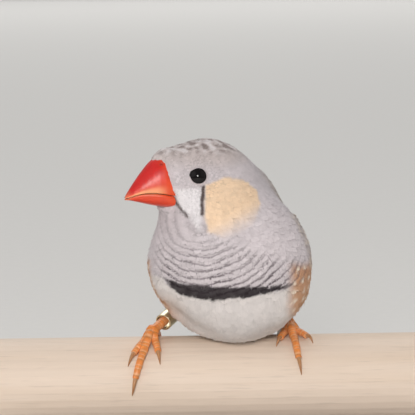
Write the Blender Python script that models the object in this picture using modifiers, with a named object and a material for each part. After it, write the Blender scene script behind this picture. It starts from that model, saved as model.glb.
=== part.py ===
"""A male zebra finch of the silver form, life size, gripping a cut length of dowel on a plain stand.

Metres, +Z up. The origin is the centre of the stand's underside, and the perch runs along X.
The bird looks out over the front, which is -Y, with its head turned to its right.
"""

import math
import random
from collections import namedtuple

import bmesh
import bpy
from mathutils import Matrix, Vector
from mathutils.bvhtree import BVHTree

MM = 0.001
SEED = 11

# Gaps between neighbouring solids
GAP = 0.3 * MM
WING_CLEARANCE = 0.45 * MM
WELD = 0.002 * MM

# Stand and perch
PERCH_RADIUS = 9.5 * MM
PERCH_LENGTH = 110 * MM
PERCH_EDGE = 0.8 * MM
PERCH_SIDES = 36
PERCH_HEIGHT = 32 * MM
PERCH_AXIS = Vector((0, 0, PERCH_HEIGHT))
BASE_SIZE = Vector((104, 64, 7)) * MM
BASE_CORNER = 6 * MM
BASE_EDGE = 1.2 * MM
ROD_RADIUS = 1.5 * MM
ROD_PLACE = 40 * MM
ROD_SOCKET = 3.5 * MM
ROD_SIDES = 20

# Where the bird sits: places are from the perch's axis
BODY_YAW = math.radians(-8)
HEAD_CENTRE = Vector((-6.5, -3.5, 45)) * MM
HEAD_YAW = math.radians(-62)
HEAD_PITCH = math.radians(5)

# Skin of the flesh, and the thin cuts that part it: slope is how far each cut rises towards the back
FIRST_VOXEL = 0.8 * MM
FIRST_SMOOTHING = 26
LAST_VOXEL = 2.3 * MM
LAST_SMOOTHING = 2
CUT_SLOPE = math.radians(21)
HEAD_CUT_HEIGHT = 37.0 * MM
NECK_CUT_HEIGHT = 30.5 * MM
TAIL_CUT = 2.0 * MM

# Eyes, and the rings of their lids
EYE_RADIUS = 2.6 * MM
EYE_FORWARD = 4.3 * MM
EYE_RISE = 1.7 * MM
EYE_PROUD = 0.45 * MM
LID_RING = 2.2 * MM
LID_THICKNESS = 0.42 * MM
LID_HEIGHT = 1.85 * MM

# Bill, in the head's frame: distances forward of the head's centre, and heights above it
BILL_ROOT = 7.2 * MM
BILL_TIP = 18.1 * MM
BILL_RINGS = 10
CULMEN = ((7.2, 6.0), (9.0, 5.9), (11.1, 5.05), (13.4, 3.25), (15.4, 1.4), (17.0, -0.2), (18.1, -1.3))
TOMIUM = ((7.2, -2.6), (9.2, -2.35), (12.0, -1.75), (15.0, -1.3), (18.1, -1.6))
KEEL = ((7.2, -4.9), (9.0, -5.0), (10.6, -4.75), (13.0, -3.9), (15.4, -2.85), (17.2, -2.1), (18.1, -1.9))
BILL_WIDTH = ((7.2, 4.7), (9.0, 4.6), (11.0, 4.1), (13.4, 3.0), (15.6, 1.9), (17.2, 1.0), (18.1, 0.35))
MOUTH_GAP = 0.32 * MM
NOSTRIL_PLACE = (10.6, 2.35, 4.55)
NOSTRIL_RADIUS = 0.42 * MM

# Legs: places from the perch's axis
TARSUS_RADIUS = 0.92 * MM
TARSUS_SCUTES = 9
SCUTE_STEP = 0.13 * MM
PALM_RADIUS = 1.45 * MM
TOE_RADIUS = 0.85 * MM
TOE_END_RADIUS = 0.58 * MM
TOE_SCUTES = 5
TOE_LIFT = 0.04 * MM
CLAW_RINGS = 6
CLAW_HUMP = 0.5 * MM
CLAW_RADIUS = 0.52 * MM
CLAW_END_RADIUS = 0.12 * MM
THIGH_RADII = Vector((4.2, 4.8, 3.9)) * MM
LEGS = {
    "right": {"foot": (-17.6, -2.5, 11.5), "ankle": (-11.5, 8.5, 14.6), "thigh": (-8.6, 8.2, 13.4)},
    "left": {"foot": (12.0, 1.7, 11.7), "ankle": (9.5, 13.0, 16.3), "thigh": (9.8, 9.8, 13.0)},
}
# Each toe: its end and its claw's tip, as (place along the perch, degrees round it from the top to the front)
TOES = {
    "right": {
        "2": ((-16.3, 40), (-15.9, 55)),
        "3": ((-21.2, 74), (-21.9, 94)),
        "4": ((-21.6, 42), (-22.7, 57)),
        "1": ((-16.5, -49), (-16.1, -69)),
    },
    "left": {
        "2": ((9.8, 19), (8.9, 31)),
        "3": ((13.5, 52), (14.0, 71)),
        "4": ((15.7, 15), (16.8, 26)),
        "1": ((11.4, -62), (11.2, -82)),
    },
}
RING_OUTER = 1.85 * MM
RING_INNER = 1.5 * MM
RING_LENGTH = 3.6 * MM
RING_PLACE = 0.5
RING_DROP = 0.2 * MM
RING_SIDES = 28

# Vanes
VANE = 0.5 * MM
VANE_ROOT = 0.45
VANE_GROWTH = 1.6
VANE_TAPER_START = 0.72
VANE_END = 0.2
VANE_CROWDING = 0.1

# Folded wing: the middle line, the outward direction and half the width at even steps from wrist to tip
WING_LINE = ((12.6, 2.8, 33), (13.0, 9.3, 26.5), (11.6, 17.3, 18), (8.8, 26.9, 7.7), (5.6, 37.2, -3.4))
WING_OUT = ((0.95, -0.2, 0.2), (1, 0.1, 0.1), (0.95, 0.25, 0.15), (0.84, 0.36, 0.3), (0.66, 0.48, 0.56))
WING_HALF = (3.6, 6.4, 7.2, 5.8, 2.2)
WING_BEND = (15, 15, 16, 19, 24)
WING_LENGTH = 52 * MM
WING_GRID = (26, 11)
WING_REACH = 12 * MM
WING_MARGIN = 1.04
WING_LOOSENESS = (0.5, 0.12)
CORE_START = 0.012
CORE_END = 0.66
CORE_RINGS = 11
CORE_HEIGHT = ((0, 0.7), (0.1, 1.3), (0.25, 1.7), (0.45, 1.5), (0.66, 0.7))

# Feathers of a folded wing in millimetres, tier by tier: each tier's first root and tip, given as
# (along, across), the step to the next one's, half the width, and height off the body
Tier = namedtuple("Tier", "count root root_step tip tip_step half height height_step stations")
WING_TIERS = {
    "primaries": Tier(7, (12, -4.0), (0.6, 0.45), (51.6, -0.6), (-2.2, 0.6), 2.2, 0.05, 0.1, 5),
    "secondaries": Tier(5, (11, -1.2), (0, 1.0), (38, 1.5), (-1.3, 0.8), 2.6, 0.4, 0.12, 4),
    "tertials": Tier(3, (10, 3.0), (-0.8, 0.8), (37, 3.4), (-3.6, 0.7), 2.7, 0.8, 0.16, 4),
    "greater coverts": Tier(7, (7, -4.4), (0, 1.4), (18.5, -4.9), (0.15, 1.6), 1.6, 0.62, 0.07, 3),
    "median coverts": Tier(6, (3.6, -3.6), (0, 1.4), (12.4, -4.2), (0.1, 1.65), 1.6, 0.95, 0.05, 3),
    "primary coverts": Tier(3, (8, -5.2), (0, 0.5), (22, -5.2), (-2.2, 0.7), 1.2, 0.35, 0.1, 3),
}

# Tail: its root, slope and feathers; each covert is (across, how far its tip reaches) in millimetres
TAIL_ROOT = Vector((0, 20.5, 8.2)) * MM
TAIL_SLOPE = math.radians(-42)
TAIL_LENGTH = 39 * MM
TAIL_PAIRS = 6
TAIL_STEP = 0.95 * MM
TAIL_STACK = 0.19 * MM
TAIL_BEND = 18 * MM
TAIL_ROUNDING = 0.09 * MM
TAIL_LOOSENESS = 0.5 * MM
TAIL_BLUNTNESS = 0.4
RECTRIX_ROOT = Vector((4.5, 0.4)) * MM
RECTRIX_CROWDING = 0.4 * MM
RECTRIX_HALF = 2.9 * MM
CovertTier = namedtuple("CovertTier", "root height height_step feathers")
TAIL_COVERTS = (
    CovertTier(3.5, 0.55, 0.13, ((0, 17), (1.9, 15.5), (-1.9, 15.2), (3.6, 13), (-3.6, 12.6), (0.9, 11))),
    CovertTier(4.0, -3.1, -0.14, ((0, 18), (2.0, 15.5), (-2.0, 15), (0.2, 12))),
)
TAIL_COVERT_HALF = 2.1 * MM


def material(name, colour, roughness, metallic=0.0):
    """A Principled material; colour is linear RGB."""
    made = bpy.data.materials.new(name)
    made.use_nodes = True
    shader = made.node_tree.nodes["Principled BSDF"]
    shader.inputs["Base Color"].default_value = (*colour, 1)
    shader.inputs["Roughness"].default_value = roughness
    shader.inputs["Metallic"].default_value = metallic
    return made


def clear_scene():
    for obj in list(bpy.data.objects):
        bpy.data.objects.remove(obj)


def collection(name):
    made = bpy.data.collections.new(name)
    bpy.context.scene.collection.children.link(made)
    return made


def add(bm, name, home, finish=None):
    """A new object from a bmesh, in the collection home."""
    mesh = bpy.data.meshes.new(name)
    bmesh.ops.recalc_face_normals(bm, faces=bm.faces)
    if bm.calc_volume(signed=True) < 0:
        bmesh.ops.reverse_faces(bm, faces=bm.faces)
    bm.to_mesh(mesh)
    bm.free()
    obj = bpy.data.objects.new(name, mesh)
    home.objects.link(obj)
    if finish:
        mesh.materials.append(finish)
    return obj


def bmesh_of(obj):
    bm = bmesh.new()
    bm.from_mesh(obj.data)
    return bm


def apply_modifiers(obj):
    """Replaces the object's mesh by what its modifiers make of it."""
    graph = bpy.context.evaluated_depsgraph_get()
    graph.update()
    made = bpy.data.meshes.new_from_object(obj.evaluated_get(graph))
    obj.modifiers.clear()
    obj.data = made
    return obj


def boolean(obj, operation, other):
    """Cuts or joins obj with another object or with a collection's objects, which are then removed."""
    step = obj.modifiers.new(operation.lower(), "BOOLEAN")
    step.operation = operation
    step.solver = "EXACT"
    if isinstance(other, bpy.types.Collection):
        step.operand_type = "COLLECTION"
        step.collection = other
        spent = list(other.objects)
    else:
        step.object = other
        spent = [other]
    apply_modifiers(obj)
    for piece in spent:
        bpy.data.objects.remove(piece)
    return keep_largest(obj)


def keep_largest(obj):
    """Drops loose scraps and sealed hollows: only the largest closed surface stays."""
    bm = bmesh_of(obj)
    bmesh.ops.remove_doubles(bm, verts=bm.verts, dist=WELD)
    bmesh.ops.dissolve_degenerate(bm, edges=bm.edges, dist=WELD)
    bmesh.ops.triangulate(bm, faces=bm.faces)
    seen = set()
    shells = []
    for start in bm.faces:
        if start in seen:
            continue
        seen.add(start)
        shell = [start]
        for face in shell:
            for edge in face.edges:
                for near in edge.link_faces:
                    if near not in seen:
                        seen.add(near)
                        shell.append(near)
        shells.append(shell)
    shells.sort(key=lambda shell: -sum(face.calc_area() for face in shell))
    for shell in shells[1:]:
        bmesh.ops.delete(bm, geom=shell, context="FACES")
    bm.to_mesh(obj.data)
    bm.free()
    return obj


def eased(value, table):
    """Reads a table of (place, size) pairs at value, along a smooth curve through them."""
    if value <= table[0][0]:
        return table[0][1]
    for index in range(len(table) - 1):
        a, low = table[index]
        b, high = table[index + 1]
        if value > b:
            continue
        before = table[index - 1] if index else table[0]
        after = table[index + 2] if index + 2 < len(table) else table[-1]
        run = b - a
        slope_a = (high - before[1]) / (b - before[0]) * run
        slope_b = (after[1] - low) / (after[0] - a) * run
        t = (value - a) / run
        rise = t * t * (3 - 2 * t)
        return low + (high - low) * rise + slope_a * t * (1 - t) ** 2 - slope_b * t * t * (1 - t)
    return table[-1][1]


def along_line(points, t):
    """A point on a smooth curve through evenly spaced control points, with t from 0 to 1."""
    last = len(points) - 1
    return Vector(
        eased(t, [(i / last, point[axis]) for i, point in enumerate(points)]) for axis in range(3)
    )


def loft(rings):
    """A closed bmesh through rings that have as many points each, with both ends capped."""
    bm = bmesh.new()
    rows = [[bm.verts.new(point) for point in ring] for ring in rings]
    for low, high in zip(rows, rows[1:]):
        for i in range(len(low)):
            j = (i + 1) % len(low)
            bm.faces.new((low[i], low[j], high[j], high[i]))
    bm.faces.new(reversed(rows[0]))
    bm.faces.new(rows[-1])
    return bm


def cylinder(start, end, radius, sides, end_radius=None):
    """A closed bmesh cylinder or cone between two points."""
    bm = bmesh.new()
    line = end - start
    turn = line.to_track_quat("Z", "Y").to_matrix().to_4x4()
    bmesh.ops.create_cone(
        bm,
        cap_ends=True,
        segments=sides,
        radius1=radius,
        radius2=radius if end_radius is None else end_radius,
        depth=line.length,
        matrix=Matrix.Translation((start + end) / 2) @ turn,
    )
    return bm


def ellipsoid(bm, centre, radii, frame, segments=32):
    """Adds an ellipsoid whose axes follow the frame."""
    place = frame @ Matrix.Translation(centre) @ Matrix.Diagonal((*radii, 1))
    bmesh.ops.create_uvsphere(
        bm, u_segments=segments, v_segments=segments * 5 // 8, radius=1, matrix=place
    )


def tube(name, points, radii, sides, home, finish=None):
    """A tapered tube along points: a bevelled curve made into one closed mesh."""
    data = bpy.data.curves.new(name, "CURVE")
    data.dimensions = "3D"
    data.bevel_depth = 1
    data.bevel_resolution = (sides - 4) // 2
    data.use_fill_caps = True
    line = data.splines.new("POLY")
    line.points.add(len(points) - 1)
    for spot, point, radius in zip(line.points, points, radii):
        spot.co = (*point, 1)
        spot.radius = radius
    curve = bpy.data.objects.new(name + "_line", data)
    home.objects.link(curve)
    graph = bpy.context.evaluated_depsgraph_get()
    graph.update()
    mesh = bpy.data.meshes.new_from_object(curve.evaluated_get(graph))
    bm = bmesh.new()
    bm.from_mesh(mesh)
    bpy.data.objects.remove(curve)
    bpy.data.meshes.remove(mesh)
    bmesh.ops.remove_doubles(bm, verts=bm.verts, dist=WELD)
    return add(bm, name, home, finish)


def body_frame():
    """The bird's body: its -Y is forward and its +X is the bird's left, from the perch's axis."""
    return Matrix.Translation(PERCH_AXIS) @ Matrix.Rotation(BODY_YAW, 4, "Z")


def head_frame():
    """The bird's head: its -Y points along the bill and its +X to the bird's left."""
    place = Matrix.Translation(PERCH_AXIS + HEAD_CENTRE)
    return place @ Matrix.Rotation(HEAD_YAW, 4, "Z") @ Matrix.Rotation(HEAD_PITCH, 4, "X")


# Flesh: lumps as (left, back, up) centres and radii in millimetres, blended by voxels into one form
BODY_LUMPS = {
    "breast": ((-0.3, -4.0, 26.5), (18.2, 12.6, 17.2)),
    "belly": ((0.4, -2.8, 19.3), (16.7, 11.6, 10.6)),
    "mantle": ((0, 6.5, 30.5), (12.4, 13.6, 14.2)),
    "flanks": ((0, 7.5, 19.5), (12.8, 14.0, 10.4)),
    "saddle": ((0, 14.0, 22.0), (11.2, 11.5, 11.0)),
    "rump": ((0, 18.0, 15.5), (9.4, 9.5, 8.0)),
    "vent": ((0, 15.5, 9.8), (8.0, 10.0, 6.5)),
    "tail root": ((0, 23.5, 7.4), (5.4, 8.0, 4.9)),
    "neck": ((-2.5, -2.8, 37.0), (13.2, 12.2, 9.3)),
    "nape": ((-1.0, 5.0, 39.2), (10.4, 8.6, 8.9)),
}
HEAD_LUMPS = {
    "skull": ((0, 0.6, 0.1), (8.9, 10.2, 8.5)),
    "face": ((0, -5.4, 1.9), (6.1, 6.8, 6.4)),
    "left cheek": ((4.2, -0.5, -4.6), (5.4, 6.6, 5.6)),
    "right cheek": ((-4.2, -0.5, -4.6), (5.4, 6.6, 5.6)),
    "left lore": ((3.3, -6.4, -1.2), (2.7, 4.4, 4.2)),
    "right lore": ((-3.3, -6.4, -1.2), (2.7, 4.4, 4.2)),
    "throat": ((0, -4.2, -5.4), (5.2, 5.6, 4.8)),
    "back of head": ((0, 5.5, -3.0), (8.5, 8.0, 8.5)),
}


def flesh(home):
    """One closed, blended form for head, neck, torso and tail root, before it is parted."""
    bm = bmesh.new()
    for frame, lumps in ((body_frame(), BODY_LUMPS), (head_frame(), HEAD_LUMPS)):
        for centre, radii in lumps.values():
            ellipsoid(bm, Vector(centre) * MM, Vector(radii) * MM, frame)
    whole = add(bm, "flesh", home)
    for voxel, repeats in ((FIRST_VOXEL, FIRST_SMOOTHING), (LAST_VOXEL, LAST_SMOOTHING)):
        remesh = whole.modifiers.new("voxels", "REMESH")
        remesh.mode = "VOXEL"
        remesh.voxel_size = voxel
        relax = whole.modifiers.new("relax", "SMOOTH")
        relax.factor = 0.5
        relax.iterations = repeats
    return apply_modifiers(whole)


def part_between(whole, name, planes, home, finish):
    """The stretch of a closed form inside each (point, outward direction) plane, with its cuts capped."""
    bm = bmesh_of(whole)
    for point, outward in planes:
        bmesh.ops.bisect_plane(
            bm,
            geom=bm.verts[:] + bm.edges[:] + bm.faces[:],
            dist=WELD,
            plane_co=point,
            plane_no=outward,
            clear_outer=True,
        )
        bmesh.ops.holes_fill(bm, edges=[edge for edge in bm.edges if edge.is_boundary])
    bmesh.ops.triangulate(bm, faces=bm.faces)
    return add(bm, name, home, finish)


def cut_planes():
    """The cuts between head and neck, neck and torso, torso and tail: (point, direction) each."""
    rise = Vector((0, -math.sin(CUT_SLOPE), math.cos(CUT_SLOPE)))
    head_cut = PERCH_AXIS + Vector((0, 0, HEAD_CUT_HEIGHT))
    neck_cut = PERCH_AXIS + Vector((0, 0, NECK_CUT_HEIGHT))
    tail = tail_frame()
    tail_cut = tail @ Vector((0, TAIL_CUT, 0))
    back = (tail.to_3x3() @ Vector((0, 1, 0))).normalized()
    return (head_cut, rise), (neck_cut, rise), (tail_cut, back)


def tail_frame():
    """The tail: its +Y runs out along the feathers and its +Z is the upper side."""
    return body_frame() @ Matrix.Translation(TAIL_ROOT) @ Matrix.Rotation(TAIL_SLOPE, 4, "X")


def eye_frames(tree):
    """For each side, the frame at the eye's centre whose +Z looks out through the skin of the head."""
    frames = {}
    for side, sign in (("left", 1), ("right", -1)):
        within = head_frame() @ Vector((0, -EYE_FORWARD, EYE_RISE))
        sideways = head_frame().to_3x3() @ Vector((sign, 0, 0))
        on_skin = tree.ray_cast(within, sideways)[0]
        slopes = [normal for _, normal, _, _ in tree.find_nearest_range(on_skin, EYE_RADIUS)]
        outward = sum(slopes, Vector()).normalized()
        centre = on_skin - outward * (EYE_RADIUS - EYE_PROUD)
        turn = outward.to_track_quat("Z", "Y").to_matrix().to_4x4()
        frames[side] = Matrix.Translation(centre) @ turn
    return frames


def bill_half(lower, spread=0.0, root=BILL_ROOT):
    """One half of the bill as a closed loft; spread makes it wider all round, for its pocket."""
    edge_sign = -1 if lower else 1
    ridge_line = KEEL if lower else CULMEN
    rings = []
    for i in range(BILL_RINGS):
        share = (i / (BILL_RINGS - 1)) ** 0.9
        forward = root + (BILL_TIP - root) * share
        place = forward / MM
        tomium = eased(place, TOMIUM) * MM
        edge = tomium + edge_sign * (MOUTH_GAP / 2 - spread)
        ridge = eased(place, ridge_line) * MM + edge_sign * spread
        half = eased(place, BILL_WIDTH) * MM * (0.9 if lower else 1) + spread
        height = ridge - edge
        ring = []
        for step in range(9):
            turn = math.pi * step / 8
            across = math.copysign(abs(math.cos(turn)) ** 0.85, math.cos(turn))
            ring.append(Vector((half * across, -forward, edge + height * math.sin(turn) ** 0.9)))
        ring.append(Vector((-half * 0.4, -forward, edge)))
        ring.append(Vector((half * 0.4, -forward, edge)))
        rings.append(ring)
    bm = loft(rings)
    bm.transform(head_frame())
    return bm


def head(whole, sockets, home, scratch, finish):
    """The head, with the rings of its eyelids and the hollows that hold the eyes and the bill."""
    cut, rise = cut_planes()[0]
    made = part_between(whole, "head", ((cut + rise * GAP / 2, -rise),), home, finish)
    rings = collection("rings")
    for frame in sockets.values():
        bpy.ops.mesh.primitive_torus_add(
            major_segments=20, minor_segments=6, major_radius=LID_RING, minor_radius=LID_THICKNESS
        )
        lid = bpy.context.object
        lid.data.transform(frame @ Matrix.Translation((0, 0, LID_HEIGHT)))
        for holder in lid.users_collection:
            holder.objects.unlink(lid)
        rings.objects.link(lid)
    boolean(made, "UNION", rings)
    for frame in sockets.values():
        bm = bmesh.new()
        ellipsoid(bm, Vector(), Vector((1, 1, 1)) * (EYE_RADIUS + GAP), frame, segments=16)
        boolean(made, "DIFFERENCE", add(bm, "socket", scratch))
    for lower in (False, True):
        pocket = bill_half(lower, spread=GAP, root=BILL_ROOT - GAP)
        boolean(made, "DIFFERENCE", add(pocket, "pocket", scratch))
    bpy.data.collections.remove(rings)
    return made


def eyes(sockets, home, finish):
    for side, frame in sockets.items():
        bm = bmesh.new()
        ellipsoid(bm, Vector(), Vector((1, 1, 1)) * EYE_RADIUS, frame, segments=16)
        add(bm, "eye_" + side, home, finish)


def bill(home, scratch, finish, pale_finish):
    """The two halves of the bill, parted along the line of the mouth, with its nostrils."""
    upper = add(bill_half(lower=False), "bill_upper", home, finish)
    for sign in (1, -1):
        forward, side, rise = (value * MM for value in NOSTRIL_PLACE)
        bm = bmesh.new()
        spot = Vector((sign * side, -forward, rise))
        ellipsoid(bm, spot, Vector((1, 1.5, 1)) * NOSTRIL_RADIUS, head_frame(), segments=10)
        boolean(upper, "DIFFERENCE", add(bm, "nostril", scratch))
    add(bill_half(lower=True), "bill_lower", home, pale_finish)


def leg_points(side):
    return {name: PERCH_AXIS + Vector(place) * MM for name, place in LEGS[side].items()}


def scuted(points, start_radius, end_radius, scutes):
    """Points and radii of a tube whose radius steps down at each of its scutes."""
    rows = []
    for index in range(scutes):
        for share, raised in ((0.04, 1), (0.8, 1), (0.96, 0)):
            t = (index + share) / scutes
            radius = start_radius + (end_radius - start_radius) * t
            rows.append((points(t), radius + (SCUTE_STEP if raised else 0)))
    return [row[0] for row in rows], [row[1] for row in rows]


def tarsus_line(side):
    """The lower leg's start on the palm, its end at the ankle and its direction."""
    spots = leg_points(side)
    lead = (spots["ankle"] - spots["foot"]).normalized()
    return spots["foot"] + lead * (PALM_RADIUS + GAP), spots["ankle"], lead


def tarsus(side, home, finish):
    """The scaly lower leg from the foot up to the ankle, which the thigh's feathers cover."""
    start, end, _ = tarsus_line(side)
    points, radii = scuted(lambda t: start.lerp(end, t), TARSUS_RADIUS, TARSUS_RADIUS, TARSUS_SCUTES)
    return tube("tarsus_" + side, points, radii, 8, home, finish)


def tarsus_space(side, home):
    """The room that the lower leg needs under the feathers."""
    start, end, lead = tarsus_line(side)
    radius = TARSUS_RADIUS + SCUTE_STEP + GAP
    return add(cylinder(start - lead * GAP, end, radius, 12), "space", home)


def thigh_form(side, wider=0.0):
    bm = bmesh.new()
    radii = THIGH_RADII + Vector((wider, wider, wider))
    ellipsoid(bm, leg_points(side)["thigh"], radii, Matrix(), segments=16)
    return bm


def round_perch(place, degrees, height):
    """A point over the perch: place along it in millimetres, degrees from its top towards the front."""
    turn = math.radians(degrees)
    reach = PERCH_RADIUS + height
    return PERCH_AXIS + Vector((place * MM, -reach * math.sin(turn), reach * math.cos(turn)))


def toe_path(side, toe):
    """The middle line of a toe, from inside the palm to its end, arched over the perch."""
    foot = leg_points(side)["foot"] - PERCH_AXIS
    start_turn = math.degrees(math.atan2(-foot.y, foot.z))
    start_height = math.hypot(foot.y, foot.z) - PERCH_RADIUS
    (end_place, end_turn), _ = TOES[side][toe]

    def place(t):
        settle = min(1, t / 0.34)
        low = GAP + SCUTE_STEP + TOE_RADIUS + (TOE_END_RADIUS - TOE_RADIUS) * t
        arch = 0.35 * MM * max(0, math.sin(math.pi * t * 2.5)) * (t < 0.8)
        height = start_height + (low - start_height) * settle * settle * (3 - 2 * settle)
        spread = t ** 0.8
        return round_perch(
            foot.x / MM + (end_place - foot.x / MM) * spread,
            start_turn + (end_turn - start_turn) * t,
            height + arch + TOE_LIFT,
        )

    return place


def claw_path(side, toe):
    """Points and radii of a claw, from just off the toe's end down to its tip on the perch."""
    _, (tip_place, tip_turn) = TOES[side][toe]
    path = toe_path(side, toe)
    last = path(1)
    start = last + (last - path(0.96)).normalized() * GAP - PERCH_AXIS
    start_turn = math.degrees(math.atan2(-start.y, start.z))
    start_height = math.hypot(start.y, start.z) - PERCH_RADIUS
    points = []
    radii = []
    for step in range(CLAW_RINGS):
        t = step / (CLAW_RINGS - 1)
        radius = CLAW_RADIUS + (CLAW_END_RADIUS - CLAW_RADIUS) * t ** 1.3
        floor = GAP + TOE_LIFT + radius
        hump = CLAW_HUMP * math.sin(math.pi * t) ** 0.9
        place = start.x / MM + (tip_place - start.x / MM) * t
        turn = start_turn + (tip_turn - start_turn) * t
        points.append(round_perch(place, turn, start_height + (floor - start_height) * t + hump))
        radii.append(radius)
    return points, radii


def foot(side, home, finish):
    """Palm and four toes as one scaly piece."""
    bm = bmesh.new()
    palm_radii = Vector((1.05, 1, 0.95)) * PALM_RADIUS
    ellipsoid(bm, leg_points(side)["foot"], palm_radii, Matrix(), segments=16)
    made = add(bm, "foot_" + side, home, finish)
    toes = collection("toes")
    for toe in TOES[side]:
        points, radii = scuted(toe_path(side, toe), TOE_RADIUS, TOE_END_RADIUS, TOE_SCUTES)
        tube("toe", points, radii, 6, toes)
    boolean(made, "UNION", toes)
    bpy.data.collections.remove(toes)
    return made


def claws(side, home, finish):
    for toe in TOES[side]:
        points, radii = claw_path(side, toe)
        tube(f"claw_{side}_{toe}", points, radii, 6, home, finish)


def toe_space(side, toe, home):
    """The room that a toe and its claw need under the feathers of the belly."""
    path = toe_path(side, toe)
    points = [path(step / 6) for step in range(7)] + claw_path(side, toe)[0][1:]
    radii = [TOE_RADIUS + SCUTE_STEP + GAP] * 7 + [CLAW_RADIUS + GAP] * (CLAW_RINGS - 1)
    return tube("space", points, radii, 8, home)


def ring_line():
    """The middle of the leg ring and the direction of its axis."""
    spots = leg_points("right")
    lead = (spots["ankle"] - spots["foot"]).normalized()
    return spots["foot"].lerp(spots["ankle"], RING_PLACE) - Vector((0, 0, RING_DROP)), lead


def leg_ring(home, finish):
    """The closed ring round the right lower leg: a short sleeve, turned from its wall's section."""
    centre, lead = ring_line()
    half = RING_LENGTH / 2
    section = bmesh.new()
    corners = ((RING_INNER, -half), (RING_OUTER, -half), (RING_OUTER, half), (RING_INNER, half))
    verts = [section.verts.new((radius, 0, height)) for radius, height in corners]
    for low, high in zip(verts, verts[1:] + verts[:1]):
        section.edges.new((low, high))
    bmesh.ops.spin(
        section,
        geom=section.verts[:] + section.edges[:],
        axis=(0, 0, 1),
        angle=math.tau,
        steps=RING_SIDES,
        use_merge=True,
    )
    bmesh.ops.remove_doubles(section, verts=section.verts, dist=WELD)
    turn = lead.to_track_quat("Z", "Y").to_matrix().to_4x4()
    section.transform(Matrix.Translation(centre) @ turn)
    return add(section, "leg_ring", home, finish)


def ring_space(home):
    """The room that the ring needs under the feathers."""
    centre, lead = ring_line()
    reach = lead * (RING_LENGTH / 2 + GAP)
    return add(cylinder(centre - reach, centre + reach, RING_OUTER + GAP, RING_SIDES), "space", home)


def torso(whole, home, scratch, finish):
    """Breast, belly, back and rump, cut clear of the perch, the legs and the ring."""
    _, (neck_cut, rise), (tail_cut, back) = cut_planes()
    planes = ((neck_cut - rise * GAP / 2, rise), (tail_cut - back * GAP / 2, back))
    made = part_between(whole, "torso", planes, home, finish)
    reach = Vector((PERCH_LENGTH / 2, 0, 0))
    clear = cylinder(PERCH_AXIS - reach, PERCH_AXIS + reach, PERCH_RADIUS + GAP, PERCH_SIDES)
    spaces = [add(clear, "space", scratch), ring_space(scratch)]
    for side in LEGS:
        spaces.append(add(thigh_form(side, wider=GAP), "space", scratch))
        spaces.append(tarsus_space(side, scratch))
        spaces.extend(toe_space(side, toe, scratch) for toe in TOES[side])
    for space in spaces:
        boolean(made, "DIFFERENCE", space)
    return made


def neck(whole, home, finish):
    (head_cut, rise), (neck_cut, _), _ = cut_planes()
    planes = ((head_cut - rise * GAP / 2, rise), (neck_cut + rise * GAP / 2, -rise))
    return part_between(whole, "neck", planes, home, finish)


def legs(home, scratch, skin, feathered, horn, metal):
    for side in LEGS:
        upper = add(thigh_form(side), "thigh_" + side, home, feathered)
        if side == "right":
            boolean(upper, "DIFFERENCE", ring_space(scratch))
        shank = tarsus(side, home, skin)
        boolean(shank, "DIFFERENCE", add(thigh_form(side, wider=GAP), "space", scratch))
        boolean(shank, "DIFFERENCE", toe_space(side, "1", scratch))
        foot(side, home, skin)
        claws(side, home, horn)
    leg_ring(home, metal)


class WingSheet:
    """The curved surface that a folded wing lies on, just clear of the flesh.

    It is read by distance from the wrist towards the tip, by distance up from the middle line
    towards the back, and by height off the body, all in metres.
    """

    def __init__(self, side, tree):
        self.mirror = body_frame() @ Matrix.Diagonal((side, 1, 1, 1))
        self.tree = tree
        self.table = [(i / 4, value) for i, value in enumerate(WING_BEND)]
        self.lift = self.lifts()

    def bare(self, along, across):
        """The surface before it is lifted clear of the flesh: a point and its outward direction."""
        t = max(0.0, min(1.0, along / WING_LENGTH))
        step = 0.02
        ahead = along_line(WING_LINE, min(1, t + step))
        behind = along_line(WING_LINE, max(0, t - step))
        lead = (ahead - behind).normalized()
        outward = along_line(WING_OUT, t)
        outward = (outward - lead * outward.dot(lead)).normalized()
        up = outward.cross(lead)
        bend = eased(t, self.table) * MM
        turn = across / bend
        spill = (along - t * WING_LENGTH) * lead
        point = along_line(WING_LINE, t) * MM + spill
        point += up * bend * math.sin(turn) - outward * bend * (1 - math.cos(turn))
        normal = outward * math.cos(turn) + up * math.sin(turn)
        return self.mirror @ point, (self.mirror.to_3x3() @ normal).normalized()

    def needed(self, along, across):
        """How far this place has to be lifted to clear the flesh."""
        point, normal = self.bare(along, across)
        raised = 0.0
        for _ in range(30):
            near, surface, _, distance = self.tree.find_nearest(point + normal * raised)
            outside = (point + normal * raised - near).dot(surface) > 0
            room = distance if outside else -distance
            if room >= WING_CLEARANCE:
                break
            raised += max(WING_CLEARANCE - room, 0.02 * MM)
        return raised

    def lifts(self):
        rows, columns = WING_GRID
        grid = [
            [
                self.needed(
                    WING_LENGTH * WING_MARGIN * i / (rows - 1),
                    WING_REACH * (2 * j / (columns - 1) - 1),
                )
                for j in range(columns)
            ]
            for i in range(rows)
        ]
        for _ in range(6):
            grid = [
                [
                    max(grid[i][j], sum(self.around(grid, i, j)) / 4)
                    for j in range(columns)
                ]
                for i in range(rows)
            ]
        return grid

    @staticmethod
    def around(grid, i, j):
        rows, columns = WING_GRID
        return (
            grid[max(i - 1, 0)][j],
            grid[min(i + 1, rows - 1)][j],
            grid[i][max(j - 1, 0)],
            grid[i][min(j + 1, columns - 1)],
        )

    def at(self, along, across, height):
        rows, columns = WING_GRID
        x = max(0, min(rows - 1.001, along / (WING_LENGTH * WING_MARGIN) * (rows - 1)))
        y = max(0, min(columns - 1.001, (across / WING_REACH + 1) / 2 * (columns - 1)))
        i, j = int(x), int(y)
        u, v = x - i, y - j
        low = self.lift[i][j] * (1 - v) + self.lift[i][j + 1] * v
        high = self.lift[i + 1][j] * (1 - v) + self.lift[i + 1][j + 1] * v
        point, normal = self.bare(along, across)
        return point + normal * (low * (1 - u) + high * u + height)


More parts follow.
